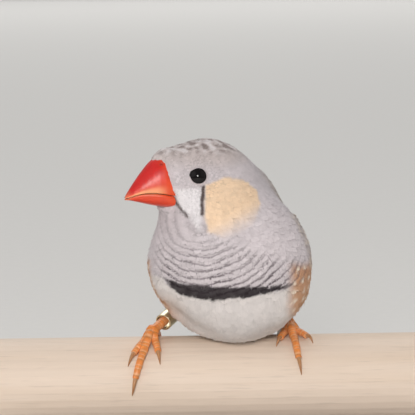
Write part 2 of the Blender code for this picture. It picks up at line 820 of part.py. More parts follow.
def vane(place, root, tip, half, height, stations, blunt=0.5):
    """A feather as a thin closed vane over a surface, from root to tip, given as (along, across).

    place(along, across, height) reads the surface. The faces above and below are split alike.
    """
    line = Vector(tip) - Vector(root)
    side = Vector((-line.y, line.x)).normalized()
    bm = bmesh.new()
    rows = []
    for station in range(stations + 1):
        t = station / stations
        t += VANE_CROWDING * math.sin(math.pi * t)
        grown = min(1, VANE_ROOT + VANE_GROWTH * t)
        past = max(0, (t - VANE_TAPER_START) / (1 - VANE_TAPER_START))
        tapered = max(0, 1 - past * past) ** blunt
        width = half * grown * max(tapered, VANE_END)
        spot = Vector(root) + line * t
        left = spot + side * width
        right = spot - side * width
        corners = ((left, 0), (left, VANE), (right, VANE), (right, 0))
        rows.append([bm.verts.new(place(*flat, height + up)) for flat, up in corners])
    for low, high in zip(rows, rows[1:]):
        for i in range(4):
            j = (i + 1) % 4
            if i < 2:
                bm.faces.new((low[i], low[j], high[j]))
                bm.faces.new((low[i], high[j], high[i]))
            else:
                bm.faces.new((low[i], low[j], high[i]))
                bm.faces.new((low[j], high[j], high[i]))
    bm.faces.new(reversed(rows[0]))
    bm.faces.new(rows[-1])
    return bm


def wing_core(sheet):
    """The arm of the folded wing under its coverts, a lens in section, tapering towards the tip."""
    rings = []
    half_table = [(i / 4, value) for i, value in enumerate(WING_HALF)]
    shares = [-1 + 2 * j / 5 for j in range(6)]
    for i in range(CORE_RINGS):
        t = CORE_START + (CORE_END - CORE_START) * i / (CORE_RINGS - 1)
        rounding = {0: 0.7, CORE_RINGS - 1: 0.55}.get(i, 0.93)
        half = eased(t, half_table) * MM * rounding
        crown = eased(t, CORE_HEIGHT) * MM - VANE
        along = t * WING_LENGTH
        outer = [sheet.at(along, share * half, VANE + crown * (1 - share * share) ** 0.6) for share in shares]
        inner = [sheet.at(along, share * half, 0) for share in reversed(shares)]
        rings.append(outer + inner)
    return loft(rings)


def wing(side, tree, home, finish):
    """A folded wing: the covered arm, and its flight feathers and coverts as overlapping vanes."""
    sheet = WingSheet(1 if side == "left" else -1, tree)
    made = add(wing_core(sheet), "wing_" + side, home, finish)
    vanes = collection("vanes")
    draw = random.Random(SEED)
    for tier in WING_TIERS.values():
        for index in range(tier.count):
            loose = Vector(draw.uniform(-most, most) for most in WING_LOOSENESS)
            start = (Vector(tier.root) + Vector(tier.root_step) * index) * MM
            end = (Vector(tier.tip) + Vector(tier.tip_step) * index + loose) * MM
            level = (tier.height + tier.height_step * index) * MM
            add(vane(sheet.at, start, end, tier.half * MM, level, tier.stations), "vane", vanes)
    boolean(made, "UNION", vanes)
    bpy.data.collections.remove(vanes)
    return made


def tail(whole, home, finish):
    """The tail's root, its twelve feathers as a closed fan, and the coverts above and below."""
    _, _, (cut, back) = cut_planes()
    made = part_between(whole, "tail", ((cut + back * GAP / 2, -back),), home, finish)
    frame = tail_frame()

    def place(along, across, height):
        return frame @ Vector((across, along, height - across * across / TAIL_BEND))

    vanes = collection("vanes")
    draw = random.Random(SEED)
    for pair in range(TAIL_PAIRS):
        for order, sign in enumerate((1, -1)):
            root = (RECTRIX_ROOT.x, sign * (RECTRIX_ROOT.y + RECTRIX_CROWDING * pair))
            length = TAIL_LENGTH - TAIL_ROUNDING * pair * pair - draw.uniform(0, TAIL_LOOSENESS)
            tip = (length, sign * (RECTRIX_ROOT.y + TAIL_STEP * pair))
            level = -TAIL_STACK * (2 * pair + order)
            piece = vane(place, root, tip, RECTRIX_HALF, level, 4, blunt=TAIL_BLUNTNESS)
            add(piece, "vane", vanes)
    for tier in TAIL_COVERTS:
        for index, (across, reach) in enumerate(tier.feathers):
            root = (tier.root * MM, across * MM)
            tip = (reach * MM, across * MM)
            height = (tier.height + tier.height_step * index) * MM
            add(vane(place, root, tip, TAIL_COVERT_HALF, height, 3), "vane", vanes)
    boolean(made, "UNION", vanes)
    bpy.data.collections.remove(vanes)
    return made


def perch_and_stand(home, scratch, timber, base_wood, steel):
    """A cut length of dowel, held by two short rods on a flat base."""
    reach = Vector((PERCH_LENGTH / 2, 0, 0))
    dowel = cylinder(PERCH_AXIS - reach, PERCH_AXIS + reach, PERCH_RADIUS, PERCH_SIDES)
    rims = [edge for edge in dowel.edges if abs(edge.verts[0].co.x - edge.verts[1].co.x) < WELD]
    bmesh.ops.bevel(dowel, geom=rims, offset=PERCH_EDGE, segments=2, affect="EDGES", profile=0.5)
    perch = add(dowel, "perch", home, timber)
    board = bmesh.new()
    place = Matrix.Translation((0, 0, BASE_SIZE.z / 2)) @ Matrix.Diagonal((*BASE_SIZE, 1))
    bmesh.ops.create_cube(board, size=1, matrix=place)
    uprights = [edge for edge in board.edges if abs(edge.verts[0].co.z - edge.verts[1].co.z) > WELD]
    bmesh.ops.bevel(board, geom=uprights, offset=BASE_CORNER, segments=4, affect="EDGES", profile=0.5)
    top = [edge for edge in board.edges if min(vert.co.z for vert in edge.verts) > BASE_SIZE.z - WELD]
    bmesh.ops.bevel(board, geom=top, offset=BASE_EDGE, segments=3, affect="EDGES", profile=0.5)
    base = add(board, "stand_base", home, base_wood)
    rod_low = BASE_SIZE.z - ROD_SOCKET
    rod_high = PERCH_HEIGHT - PERCH_RADIUS + ROD_SOCKET
    up = Vector((0, 0, 1))
    for side, sign in (("left", 1), ("right", -1)):
        foot_spot = Vector((sign * ROD_PLACE, 0, rod_low))
        head_spot = Vector((sign * ROD_PLACE, 0, rod_high))
        for holder, start, end in (
            (base, foot_spot - up * GAP, foot_spot + up * ROD_SOCKET * 2),
            (perch, head_spot - up * ROD_SOCKET * 2, head_spot + up * GAP),
        ):
            hole = cylinder(start, end, ROD_RADIUS + GAP, ROD_SIDES)
            boolean(holder, "DIFFERENCE", add(hole, "hole", scratch))
        rod = cylinder(foot_spot, head_spot, ROD_RADIUS, ROD_SIDES)
        add(rod, "stand_rod_" + side, home, steel)


def shade_round(home):
    """Smooth shading, with real corners kept sharp."""
    for obj in home.objects:
        obj.data.shade_smooth()
        obj.data.set_sharp_from_angle(angle=math.radians(38))


def main():
    clear_scene()
    home = collection("zebra_finch")
    scratch = collection("cutters")
    scratch.hide_render = True
    grey = material("grey plumage", (0.46, 0.41, 0.40), 0.9)
    breast = material("breast plumage", (0.52, 0.47, 0.46), 0.9)
    flight = material("flight feathers", (0.30, 0.25, 0.23), 0.8)
    white = material("white plumage", (0.78, 0.74, 0.70), 0.9)
    eye_dark = material("eye", (0.015, 0.008, 0.006), 0.08)
    red_horn = material("red bill horn", (0.70, 0.04, 0.015), 0.3)
    orange_horn = material("orange bill horn", (0.80, 0.12, 0.02), 0.3)
    leg_skin = material("orange leg scales", (0.80, 0.28, 0.12), 0.5)
    claw_horn = material("claw horn", (0.22, 0.15, 0.11), 0.4)
    ring_metal = material("anodised ring", (0.10, 0.10, 0.11), 0.35, 0.9)
    pale_wood = material("pale dowel wood", (0.76, 0.62, 0.50), 0.6)
    dark_wood = material("dark base wood", (0.09, 0.045, 0.022), 0.4)
    steel = material("brushed steel", (0.6, 0.6, 0.6), 0.3, 1.0)
    whole = flesh(scratch)
    surface = bmesh_of(whole)
    tree = BVHTree.FromBMesh(surface)
    surface.free()
    sockets = eye_frames(tree)
    head(whole, sockets, home, scratch, grey)
    eyes(sockets, home, eye_dark)
    bill(home, scratch, red_horn, orange_horn)
    neck(whole, home, grey)
    torso(whole, home, scratch, breast)
    legs(home, scratch, leg_skin, white, claw_horn, ring_metal)
    for side in LEGS:
        wing(side, tree, home, flight)
    tail(whole, home, flight)
    perch_and_stand(home, scratch, pale_wood, dark_wood, steel)
    bpy.data.objects.remove(whole)
    shade_round(home)


if __name__ == "__main__":
    main()
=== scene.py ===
"""A male zebra finch of the silver form on a cut length of dowel: its looks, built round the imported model."""

import math

import bmesh
import bpy
import numpy as np
from bpy.props import FloatProperty, FloatVectorProperty, IntProperty, PointerProperty
from mathutils import Matrix, Vector, noise
from mathutils.bvhtree import BVHTree


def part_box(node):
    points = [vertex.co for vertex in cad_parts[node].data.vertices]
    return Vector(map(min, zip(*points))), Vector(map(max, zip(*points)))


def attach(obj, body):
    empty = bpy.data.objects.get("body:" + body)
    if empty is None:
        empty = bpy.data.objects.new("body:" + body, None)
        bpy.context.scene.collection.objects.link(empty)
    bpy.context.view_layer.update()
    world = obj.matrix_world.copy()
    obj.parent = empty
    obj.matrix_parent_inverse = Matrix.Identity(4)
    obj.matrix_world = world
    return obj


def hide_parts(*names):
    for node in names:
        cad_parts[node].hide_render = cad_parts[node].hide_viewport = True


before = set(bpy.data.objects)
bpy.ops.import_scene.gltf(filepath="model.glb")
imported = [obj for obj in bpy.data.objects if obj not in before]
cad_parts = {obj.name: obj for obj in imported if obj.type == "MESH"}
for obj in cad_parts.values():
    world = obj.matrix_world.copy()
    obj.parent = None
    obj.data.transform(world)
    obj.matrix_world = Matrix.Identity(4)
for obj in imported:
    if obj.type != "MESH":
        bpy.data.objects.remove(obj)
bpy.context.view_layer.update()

bl_info = {
    "name": "Zebra finch on a perch",
    "version": (1, 0, 0),
    "blender": (4, 5, 0),
    "location": "3D View > Sidebar > Finch",
    "description": "Builds the plumage, bill, eyes, legs and stand of a life-size zebra finch",
    "category": "Object",
}

MM = 0.001
SEED = 7
BODY_NAME = "root"

# Where the perch and the bird are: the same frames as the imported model's
PERCH_RADIUS = 9.5 * MM
PERCH_AXIS = Vector((0, 0, 32)) * MM
BODY = Matrix.Translation(PERCH_AXIS) @ Matrix.Rotation(math.radians(-8), 4, "Z")
HEAD = (
    Matrix.Translation(PERCH_AXIS + Vector((-6.5, -3.5, 45)) * MM)
    @ Matrix.Rotation(math.radians(-62), 4, "Z")
    @ Matrix.Rotation(math.radians(5), 4, "X")
)
TAIL = BODY @ Matrix.Translation(Vector((0, 20.5, 8.2)) * MM) @ Matrix.Rotation(math.radians(-42), 4, "X")

FLESH_NODES = ("head", "neck", "torso", "thigh_left", "thigh_right")


def linear(code):
    """An sRGB hex colour as linear RGB."""
    values = [int(code[i : i + 2], 16) / 255 for i in (1, 3, 5)]
    return tuple(v / 12.92 if v <= 0.04045 else ((v + 0.055) / 1.055) ** 2.4 for v in values)


def colour_property(name, description, code):
    return FloatVectorProperty(
        name=name, description=description, default=linear(code), subtype="COLOR", size=3, min=0, max=1
    )


def length_property(name, description, millimetres):
    return FloatProperty(
        name=name, description=description, default=millimetres * MM, min=0, unit="LENGTH", precision=5
    )


class PlumageSettings(bpy.types.PropertyGroup):
    breast: colour_property("Breast", "Lavender-grey of the breast and neck", "#D0C8CB")
    crown: colour_property("Crown", "Grey of the top of the head", "#C8BDBB")
    crown_tips: colour_property("Crown tips", "Dark tips of the crown's feathers", "#7E6F6A")
    cheek: colour_property("Cheek", "Cream-peach cheek patch", "#EFD3B4")
    face: colour_property("Face stripe", "White stripe between bill and tear line", "#E9E5E7")
    tear: colour_property("Tear line", "Dark line under the eye and along the bill", "#5A4E4C")
    bar: colour_property("Breast bar", "Dark bar across the breast", "#231B1F")
    arcs: colour_property("Breast arcs", "Dark tips that draw fine arcs on throat and breast", "#5C5257")
    belly: colour_property("Belly", "Off-white of belly and vent", "#E0DAD7")
    blush: colour_property("Belly sides", "Faint pink-peach at the belly's low sides", "#DFC4B2")
    flank: colour_property("Flank", "Pale chestnut flank", "#C68F62")
    spots: colour_property("Flank spots", "Cream spots on the flank", "#E6D6C4")
    back: colour_property("Back", "Fawn-grey of back and shoulders", "#B0A49D")
    rump: colour_property("Rump", "White middle of the rump", "#D8D2CF")


class CoatSettings(bpy.types.PropertyGroup):
    face_spacing: length_property("Face spacing", "Distance between feathers round bill and eyes", 0.34)
    head_spacing: length_property("Head spacing", "Distance between feathers of crown and cheeks", 0.48)
    body_spacing: length_property("Body spacing", "Distance between feathers of the body", 0.80)
    face_depth: length_property("Face coat", "Depth of the coat on the face", 0.22)
    head_depth: length_property("Head coat", "Depth of the coat on the head", 0.34)
    body_depth: length_property("Body coat", "Depth of the coat on the body", 0.52)
    row_step: length_property("Breast rows", "Distance between rows of breast feathers", 1.03)
    wisps: IntProperty(name="Wisps", description="Number of fine loose barbs", default=9000, min=0)
    seed: IntProperty(name="Seed", description="Start of the random draws", default=SEED, min=0)


class WingSettings(bpy.types.PropertyGroup):
    vane: colour_property("Vane", "Grey-brown of the flight feathers", "#A59992")
    shaft: colour_property("Shaft", "Darker middle line of each feather", "#5E534E")
    edge: colour_property("Edge", "Cream edge of each feather", "#E0D4C5")
    thickness: length_property("Thickness", "Thickness of a vane at its middle", 0.26)


class TailSettings(bpy.types.PropertyGroup):
    vane: colour_property("Vane", "Dark grey of the tail feathers", "#57504E")
    edge: colour_property("Edge", "Paler edge of the tail feathers", "#8C8480")
    band_dark: colour_property("Dark bands", "Dark bands of the coverts over the tail", "#463F41")
    band_pale: colour_property("Pale bands", "Pale bands of the coverts over the tail", "#DDD8D5")
    under: colour_property("Under coverts", "Cream coverts under the tail", "#DCD5CE")


class BillSettings(bpy.types.PropertyGroup):
    ridge: colour_property("Ridge", "Deep red of the upper bill", "#C9120B")
    base: colour_property("Base", "Orange-red near the face", "#E4551F")
    lower: colour_property("Lower bill", "Orange-red of the lower bill", "#D23A1E")
    # This pale colour is painted along the mouth edge as a painted highlight, and it also pales the tip.
    edge: colour_property("Cutting edge", "Paler edge along the mouth", "#F6AE7C")


class EyeSettings(bpy.types.PropertyGroup):
    radius: length_property("Eyeball", "Radius of the eyeball", 2.6)
    opening: length_property("Opening", "Radius of the opening between the lids", 1.65)
    iris: colour_property("Iris", "Very dark brown iris", "#0E0809")
    lid: colour_property("Lids", "Grey skin of the lids", "#CFC5C7")


class LegSettings(bpy.types.PropertyGroup):
    scale: colour_property("Scutes", "Orange-pink leg scales", "#E4893F")
    # This pale colour is the soles' and claws' own paler colour, and also a painted highlight on the top of
    # each scale's rim.
    scale_pale_and_highlight: colour_property("Scute edges", "Paler edges of the scales", "#F9D6B0")
    claw: colour_property("Claws", "Tan horn of the claws", "#A9764A")
    ring: colour_property("Ring", "Dark dye of the ring's metal", "#54534F")
    # The rims' pale colour is a painted highlight along the ring's rounded edges.
    ring_rim_highlight: colour_property("Ring's rims", "Bright metal where the rims are worn", "#E9DFBE")
    tarsus: length_property("Lower leg", "Radius of the lower leg", 0.98)
    toe: length_property("Toe", "Radius of a toe at the palm", 0.92)
    toe_end: length_property("Toe end", "Radius of a toe at its end", 0.62)


class StandSettings(bpy.types.PropertyGroup):
    wood: colour_property("Dowel", "Pale sanded wood of the perch", "#DDCBBA")
    grain: colour_property("Grain", "Darker grain of the perch", "#D7C3AF")
    board: colour_property("Base", "Dark oiled wood of the base", "#4A3222")
    floor: colour_property("Floor", "Pale floor", "#E4E2DF")


# Numbers in arrays


def smooth(low, high, value):
    """0 below low, 1 above high, eased between; low may be the greater."""
    t = np.clip((value - low) / (high - low), 0, 1)
    return t * t * (3 - 2 * t)


def spot(value, centre, half):
    """1 at the centre, falling to 0 at half a width away."""
    return 1 - smooth(0.0, 1.0, np.abs(value - centre) / half)


def mixed(a, b, share):
    return a + (np.asarray(b) - a) * np.asarray(share)[..., None]


def unit(vectors):
    return vectors / np.maximum(np.linalg.norm(vectors, axis=-1, keepdims=True), 1e-12)


def placed(points, place):
    """Points of a frame of their own, in the whole model's frame."""
    turn = np.array(place)
    return points @ turn[:3, :3].T + turn[:3, 3]


def local(points, place):
    """Points of the whole model in another frame, in millimetres."""
    return placed(points, place.inverted()) / MM


def from_perch(points):
    """Points of the whole model as distances from the middle of the perch's axis, in millimetres."""
    return (points - np.array(PERCH_AXIS)) / MM


def clouds(points, size, lift=0.0):
    """Soft noise from -1 to 1 over points in millimetres; size is the width of its patches."""
    shift = Vector((lift, lift * 0.7, -lift))
    return np.array([noise.noise(Vector(p) / size + shift) for p in points])


# Skin and plumage


THROAT = np.array((-4.3, -6.0, 36.5))
# Outlines of the head's markings as (backward, upward) from the head's centre, in millimetres
CHEEK = (
    (-3.3, -0.4), (1.0, 0.7), (5.5, -0.7), (7.6, -3.0), (6.9, -5.7),
    (4.1, -8.7), (0.5, -10.7), (-2.3, -11.2), (-4.5, -9.8), (-4.9, -7.1), (-4.2, -4.2),
)
FACE_STRIPE = (
    (-8.7, -0.7), (-4.2, -0.9), (-4.7, -3.6), (-5.3, -6.0), (-6.0, -9.7), (-6.9, -7.5), (-8.3, -4.6),
)
TEAR_LINE = ((-0.6, -3.75), (-3.2, -4.45), (-6.2, -5.15))
MOUTH_LINE = ((-2.4, -8.9), (-3.6, -8.6), (-5.0, -8.0), (-6.6, -7.2))
# The breast bar: place across the breast, height of its middle and half its width there
BAR = (
    (-15, 25.4, 0.2), (-14, 24.2, 0.6), (-11.3, 22.7, 1.3), (-7.1, 22.4, 1.55), (-4.1, 22.25, 1.5),
    (-1, 22.4, 1.35), (3.1, 22.6, 1.1), (6.2, 22.75, 0.8), (9.3, 23.0, 0.45), (13, 23.8, 0.25),
    (16, 25.0, 0.1),
)
# Height at which the fine arcs begin, at places across the breast
ARCS_TOP = ((-16, 39), (-6, 37.5), (0, 33.5), (6, 30), (12, 28.5), (16, 27))
# Height of a row of spots on the flank, and the distance between two spots in it
SPOT_ROW, SPOT_STEP = 2.3, 2.6


def within(outline, across, up, soft):
    """1 inside a closed outline and 0 outside it, eased over the soft distance."""
    ends = np.array(outline)
    starts = np.roll(ends, 1, axis=0)
    points = np.stack([across, up], axis=-1)[:, None]
    run, apart = ends - starts, points - starts
    share = np.clip((apart * run).sum(-1) / (run * run).sum(-1), 0, 1)
    distance = np.linalg.norm(apart - run * share[..., None], axis=-1).min(1)
    crossed = (starts[:, 1] > points[..., 1]) != (ends[:, 1] > points[..., 1])
    rise = np.where(run[:, 1] == 0, 1, run[:, 1])
    left = points[..., 0] < starts[:, 0] + apart[..., 1] / rise * run[:, 0]
    inside = (crossed & left).sum(1) % 2 == 1
    return smooth(-soft, soft, np.where(inside, distance, -distance))


def near_line(line, across, up, half):
    """1 on a line given as (up, across) from its top to its end, 0 half a width away and past both ends."""
    ups, places = np.array(line)[::-1].T
    middle = np.interp(up, ups, places)
    ends = smooth(ups[0] - 0.5, ups[0] + 0.3, up) * smooth(ups[-1] + 0.4, ups[-1], up)
    return spot(across, middle, half) * ends


def bar_middle(across):
    """Height of the middle of the breast bar at each place across the breast."""
    places, middles, _ = np.array(BAR).T
    return np.interp(across, places, middles)


def bar_distance(place):
    """How far a place is above the middle of the breast bar, as a share of the bar's half width there."""
    places, _, halves = np.array(BAR).T
    return (place[:, 2] - bar_middle(place[:, 0])) / np.interp(place[:, 0], places, halves)


def row_distance(place, wave):
    """Distance from the throat, along which the breast's feathers form rows."""
    return np.linalg.norm(place - THROAT, axis=1) + 0.45 * wave + 0.07 * clouds(place, 2.0, 9.0)


def arcs_share(place, head):
    """Where the fine dark arcs show: throat and breast, fading to the shoulders."""
    x, y, z = place.T
    top = np.interp(x, *np.array(ARCS_TOP).T)
    foot = bar_middle(x)
    share = smooth(top + 2.5, top - 2.0, z) * smooth(-1, -8, y)
    share = share * smooth(foot - 1.2, foot, z) * (1 - cheek_share(head))
    return share * smooth(-17.5, -13.5, x) * smooth(17, 12, x)


def cheek_share(head):
    return within(CHEEK, head[:, 1], head[:, 2], 0.3) * smooth(2.0, 4.0, np.abs(head[:, 0]))


class Places:
    """Where some points lie on the bird, in millimetres, with the soft noise that varies its plumage."""

    def __init__(self, points, tip):
        self.place = from_perch(points)
        self.head, self.body = local(points, HEAD), local(points, BODY)
        self.along = np.full(len(points), 0.6) if tip is None else tip
        self.wave = clouds(self.place, 5.0)
        self.fine = clouds(self.place, 1.3, 3.0)
        self.near_head = smooth(17.5, 13.0, np.linalg.norm(self.head / (1, 1.1, 1), axis=1))


def back_colours(colours, at, hues):
    """Fawn back, and the white middle of the rump."""
    z = at.place[:, 2]
    sideways, backward = np.abs(at.body[:, 0]), at.body[:, 1]
    behind = smooth(-1.0, 6.0, backward + 2.0 * at.wave)
    colours = mixed(colours, hues.back, behind * smooth(12, 20, z) * (1 - 0.55 * at.near_head))
    rump = smooth(15, 19, backward) * smooth(7.0, 3.5, sideways) * smooth(24, 19, z)
    return mixed(colours, hues.rump, rump)


def crown_colours(colours, at, hues):
    """Grey crown, with dark and with pale tips among its feathers."""
    _, backward, up = at.head.T
    crown = at.near_head * smooth(1.5, 5.5, up + 0.06 * backward + at.wave)
    colours = mixed(colours, hues.crown, crown)
    top = at.near_head * smooth(4.7, 6.6, up + 0.1 * backward) * smooth(0.3, 0.7, at.along)
    colours = mixed(colours, hues.crown_tips, top * 0.8 * smooth(0.02, 0.3, at.fine))
    return mixed(colours, hues.face, top * 0.55 * smooth(-0.12, -0.32, at.fine))


def belly_colours(colours, at, hues):
    """Off-white belly and vent, with a faint blush low at the sides."""
    x, _, z = at.place.T
    backward = at.body[:, 1]
    foot = bar_middle(x)
    below = smooth(foot - 0.2, foot - 1.2, z + 0.4 * at.fine) * smooth(16, 8, backward)
    vent = smooth(11.5, 8.5, z + 0.25 * (15 - backward)) * smooth(0, 8, backward)
    colours = mixed(colours, hues.belly, np.maximum(below, vent))
    low_side = smooth(9.5, 15.5, np.abs(x - 0.5)) * smooth(23, 15, z) * smooth(8, 12, z)
    return mixed(colours, hues.blush, 0.7 * low_side * below)


def flank_colours(colours, at, hues):
    """Pale chestnut flank, with round cream spots in staggered rows."""
    x, _, z = at.place.T
    sideways, backward = np.abs(at.body[:, 0]), at.body[:, 1]
    flank = smooth(12.0, 14.4, sideways + 0.5 * at.wave) * smooth(28.5, 26.0, z + at.wave) * smooth(12, 17, z)
    front = np.where(x > 0, -12.6, -8.0)
    flank *= smooth(front - 1.2, front + 1.2, backward + 0.4 * at.wave) * smooth(14, 8, backward)
    colours = mixed(colours, hues.flank, flank * 0.85)
    row = z / SPOT_ROW - 0.4 * at.wave
    column = backward / SPOT_STEP + 0.5 * (np.floor(row) % 2) + 0.5 * at.wave
    lattice = np.stack([column, row], axis=1)
    cell = lattice - np.floor(lattice) - 0.5
    dots = smooth(0.3, 0.14, np.hypot(cell[:, 0], cell[:, 1]) + 0.1 * at.fine)
    return mixed(colours, hues.spots, dots * smooth(0.35, 0.75, flank))


def shoulder_colours(colours, at, hues):
    """Fawn shoulder before the folded wing, with cream tips to its feathers."""
    x, _, z = at.place.T
    shoulder = smooth(11.6, 14.0, x + 0.6 * at.wave) * smooth(25, 27, z) * smooth(41, 37, z)
    shoulder = shoulder * smooth(-7.5, -5.0, at.body[:, 1])
    colours = mixed(colours, hues.back, 0.6 * shoulder)
    return mixed(colours, hues.spots, shoulder * smooth(0.7, 0.95, at.along) * smooth(-0.1, 0.15, at.fine))


def face_colours(colours, at, hues):
    """White stripe, peach cheek, and the dark lines under the eye and along the mouth."""
    _, backward, up = at.head.T
    sideways = np.abs(at.head[:, 0])
    wander = 0.12 * at.fine
    white = within(FACE_STRIPE, backward + wander, up, 0.45) * at.near_head * smooth(2.0, 3.6, sideways)
    colours = mixed(colours, hues.face, white)
    colours = mixed(colours, hues.cheek, cheek_share(at.head + 0.25 * at.fine[:, None]) * at.near_head)
    tear = near_line(TEAR_LINE, backward + wander, up, 0.5)
    mouth = near_line(MOUTH_LINE, backward + wander, up, 0.5)
    lines = np.maximum(tear, 0.8 * mouth) * at.near_head * smooth(2.0, 3.0, sideways)
    return mixed(colours, hues.tear, np.clip(lines * 1.3, 0, 1))


def breast_colours(colours, at, hues):
    """Fine dark arcs along the rows of feathers, darker towards the bar, and the ragged bar itself."""
    x, y, z = at.place.T
    rows = row_distance(at.place, at.wave) / (bpy.context.scene.finch_coat.row_step / MM)
    crest = (rows + 0.03 * at.fine) % 1.0
    line = smooth(0.6, 0.84, crest) * smooth(1.0, 0.97, crest)
    near_bar = smooth(37, 23, z)
    arcs = arcs_share(at.place, at.head) * line * (0.25 + 0.7 * near_bar) * (1 + 0.4 * at.wave)
    colours = mixed(colours, hues.arcs, np.clip(arcs, 0, 1))
    ragged = at.place.copy()
    ragged[:, 2] += 0.35 * at.fine + 0.25 * clouds(at.place, 0.7, 5.0)
    bar = smooth(1.2, 0.8, np.abs(bar_distance(ragged))) * smooth(2, -6, y)
    bar = bar * smooth(-14.6, -13.2, x) * smooth(13.0, 9.5, x)
    return mixed(colours, hues.bar, bar * (0.95 + 0.05 * at.fine))


MARKINGS = (
    back_colours,
    crown_colours,
    belly_colours,
    flank_colours,
    shoulder_colours,
    face_colours,
    breast_colours,
)


def plumage(points, tip=None):
    """The colours of skin and coat at each point; tip is how far along its feather the point is."""
    hues = bpy.context.scene.finch_plumage
    at = Places(points, tip)
    colours = np.tile(np.array(hues.breast), (len(points), 1))
    for marking in MARKINGS:
        colours = marking(colours, at, hues)
    return colours


def coat_depth(points):
    """How far the skin lies under the tips of the coat."""
    sizes = bpy.context.scene.finch_coat
    head = local(points, HEAD)
    place = from_perch(points)
    near_head = smooth(16.0, 11.0, np.linalg.norm(head, axis=1))
    face = near_head * smooth(-2.5, -6.5, head[:, 1])
    depth = sizes.body_depth + (sizes.head_depth - sizes.body_depth) * near_head
    depth = depth + (sizes.face_depth - depth) * face
    return depth * (1 + 0.3 * smooth(22, 17, place[:, 2]))


def mesh_arrays(mesh):
    """A mesh's points and vertex normals as arrays."""
    points = np.empty(len(mesh.vertices) * 3, np.float32)
    mesh.vertices.foreach_get("co", points)
    normals = np.empty(len(mesh.vertices) * 3, np.float32)
    mesh.vertex_normals.foreach_get("vector", normals)
    return points.reshape(-1, 3).astype(float), normals.reshape(-1, 3).astype(float)


def set_points(mesh, points):
    mesh.vertices.foreach_set("co", points.astype(np.float32).ravel())
    mesh.update()


def apply_modifiers(obj):
    graph = bpy.context.evaluated_depsgraph_get()
    graph.update()
    made = bpy.data.meshes.new_from_object(obj.evaluated_get(graph))
    obj.modifiers.clear()
    obj.data = made
    return obj


def new_object(name, mesh, *materials):
    obj = bpy.data.objects.new(name, mesh)
    bpy.context.scene.collection.objects.link(obj)
    for material in materials:
        mesh.materials.append(material)
    return obj


def welded(*nodes):
    """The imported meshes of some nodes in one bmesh, with the points at their creases joined."""
    bm = bmesh.new()
    for node in nodes:
        bm.from_mesh(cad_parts[node].data)
    bmesh.ops.remove_doubles(bm, verts=bm.verts, dist=0.002 * MM)
    bm.normal_update()
    return bm


def tree_of(*nodes):
    bm = welded(*nodes)
    tree = BVHTree.FromBMesh(bm)
    bm.free()
    return tree


# Forms that complete the skin: where the tail joins, and the dense short feathers round the bill
TAIL_ROOT = ((0, 23.2, 7.6), (5.0, 8.0, 4.5))
BILL_SURROUND = ((0, -7.6, 1.1), (6.1, 3.0, 6.5))
FOREHEAD = ((0, -7.2, 4.9), (2.6, 4.3, 2.6))
CHIN = ((0, -8.5, -4.9), (3.2, 2.6, 1.4))
FILLINGS = ((BODY, TAIL_ROOT), (HEAD, BILL_SURROUND), (HEAD, FOREHEAD), (HEAD, CHIN))
# Where the belly is drawn in above the legs: place from the perch's axis, reach and depth, in millimetres
TUCKS = (
    ((-13.0, -7.0, 14.0), 4.5, 2.2), ((13.5, -6.0, 14.0), 4.0, 1.4),
    ((-8.0, -11.0, 8.5), 4.2, 2.2), ((9.0, -10.5, 8.5), 4.2, 2.0),
)
SOCKET_RADIUS = 2.45 * MM
BRIDGE = 0.2 * MM
SKIN_VOXEL = 0.55 * MM


def skin_form():
    """One closed form over all the flesh, with the thin gaps between the nodes bridged."""
    bm = welded(*FLESH_NODES)
    for holder, (centre, radii) in FILLINGS:
        place = holder @ Matrix.Translation(Vector(centre) * MM) @ Matrix.Diagonal((*Vector(radii) * MM, 1))
        bmesh.ops.create_uvsphere(bm, u_segments=32, v_segments=20, radius=1, matrix=place)
    for eye in eye_places():
        bmesh.ops.create_uvsphere(bm, u_segments=32, v_segments=20, radius=SOCKET_RADIUS, matrix=eye)
    bm.normal_update()
    for vert in bm.verts:
        vert.co += vert.normal * BRIDGE
    mesh = bpy.data.meshes.new("skin")
    bm.to_mesh(mesh)
    bm.free()
    skin = new_object("skin", mesh)
    remesh = skin.modifiers.new("one form", "REMESH")
    remesh.mode = "VOXEL"
    remesh.voxel_size = SKIN_VOXEL
    relax = skin.modifiers.new("soften", "SMOOTH")
    relax.factor = 0.5
    relax.iterations = 10
    apply_modifiers(skin)
    points, normals = mesh_arrays(skin.data)
    place = from_perch(points)
    tucked = 0
    for centre, reach, depth in TUCKS:
        distance = np.linalg.norm(place - centre, axis=1)
        tucked = tucked + depth * np.exp(-((distance / reach) ** 2))
    set_points(skin.data, points - normals * (coat_depth(points) + BRIDGE + tucked * MM)[:, None])
    relax = skin.modifiers.new("settle", "SMOOTH")
    relax.factor = 0.5
    relax.iterations = 3
    return apply_modifiers(skin)


UNWRAP_CENTRE = np.array(PERCH_AXIS + Vector((-1, 1, 28)) * MM)


def unwrap(points):
    """The skin's own unwrap: turned round its upright axis, with equal areas kept equal."""
    spokes = unit(points - UNWRAP_CENTRE)
    turn = np.arctan2(spokes[:, 0], -spokes[:, 1]) / math.pi
    return np.stack([0.5 + 0.48 * turn, 0.5 + 0.48 * spokes[:, 2]], axis=1)


def paint(mesh, colours):
    layer = mesh.color_attributes.new("Plumage", "FLOAT_COLOR", "POINT")
    values = np.ones((len(colours), 4), np.float32)
    values[:, :3] = np.clip(colours, 0, 1)
    layer.data.foreach_set("color", values.ravel())


def map_points(mesh, name, uvs):
    """A UV map from one pair for each point of the mesh."""
    layer = mesh.uv_layers.new(name=name)
    corners = np.empty(len(mesh.loops), np.int32)
    mesh.loops.foreach_get("vertex_index", corners)
    layer.data.foreach_set("uv", uvs[corners].astype(np.float32).ravel())


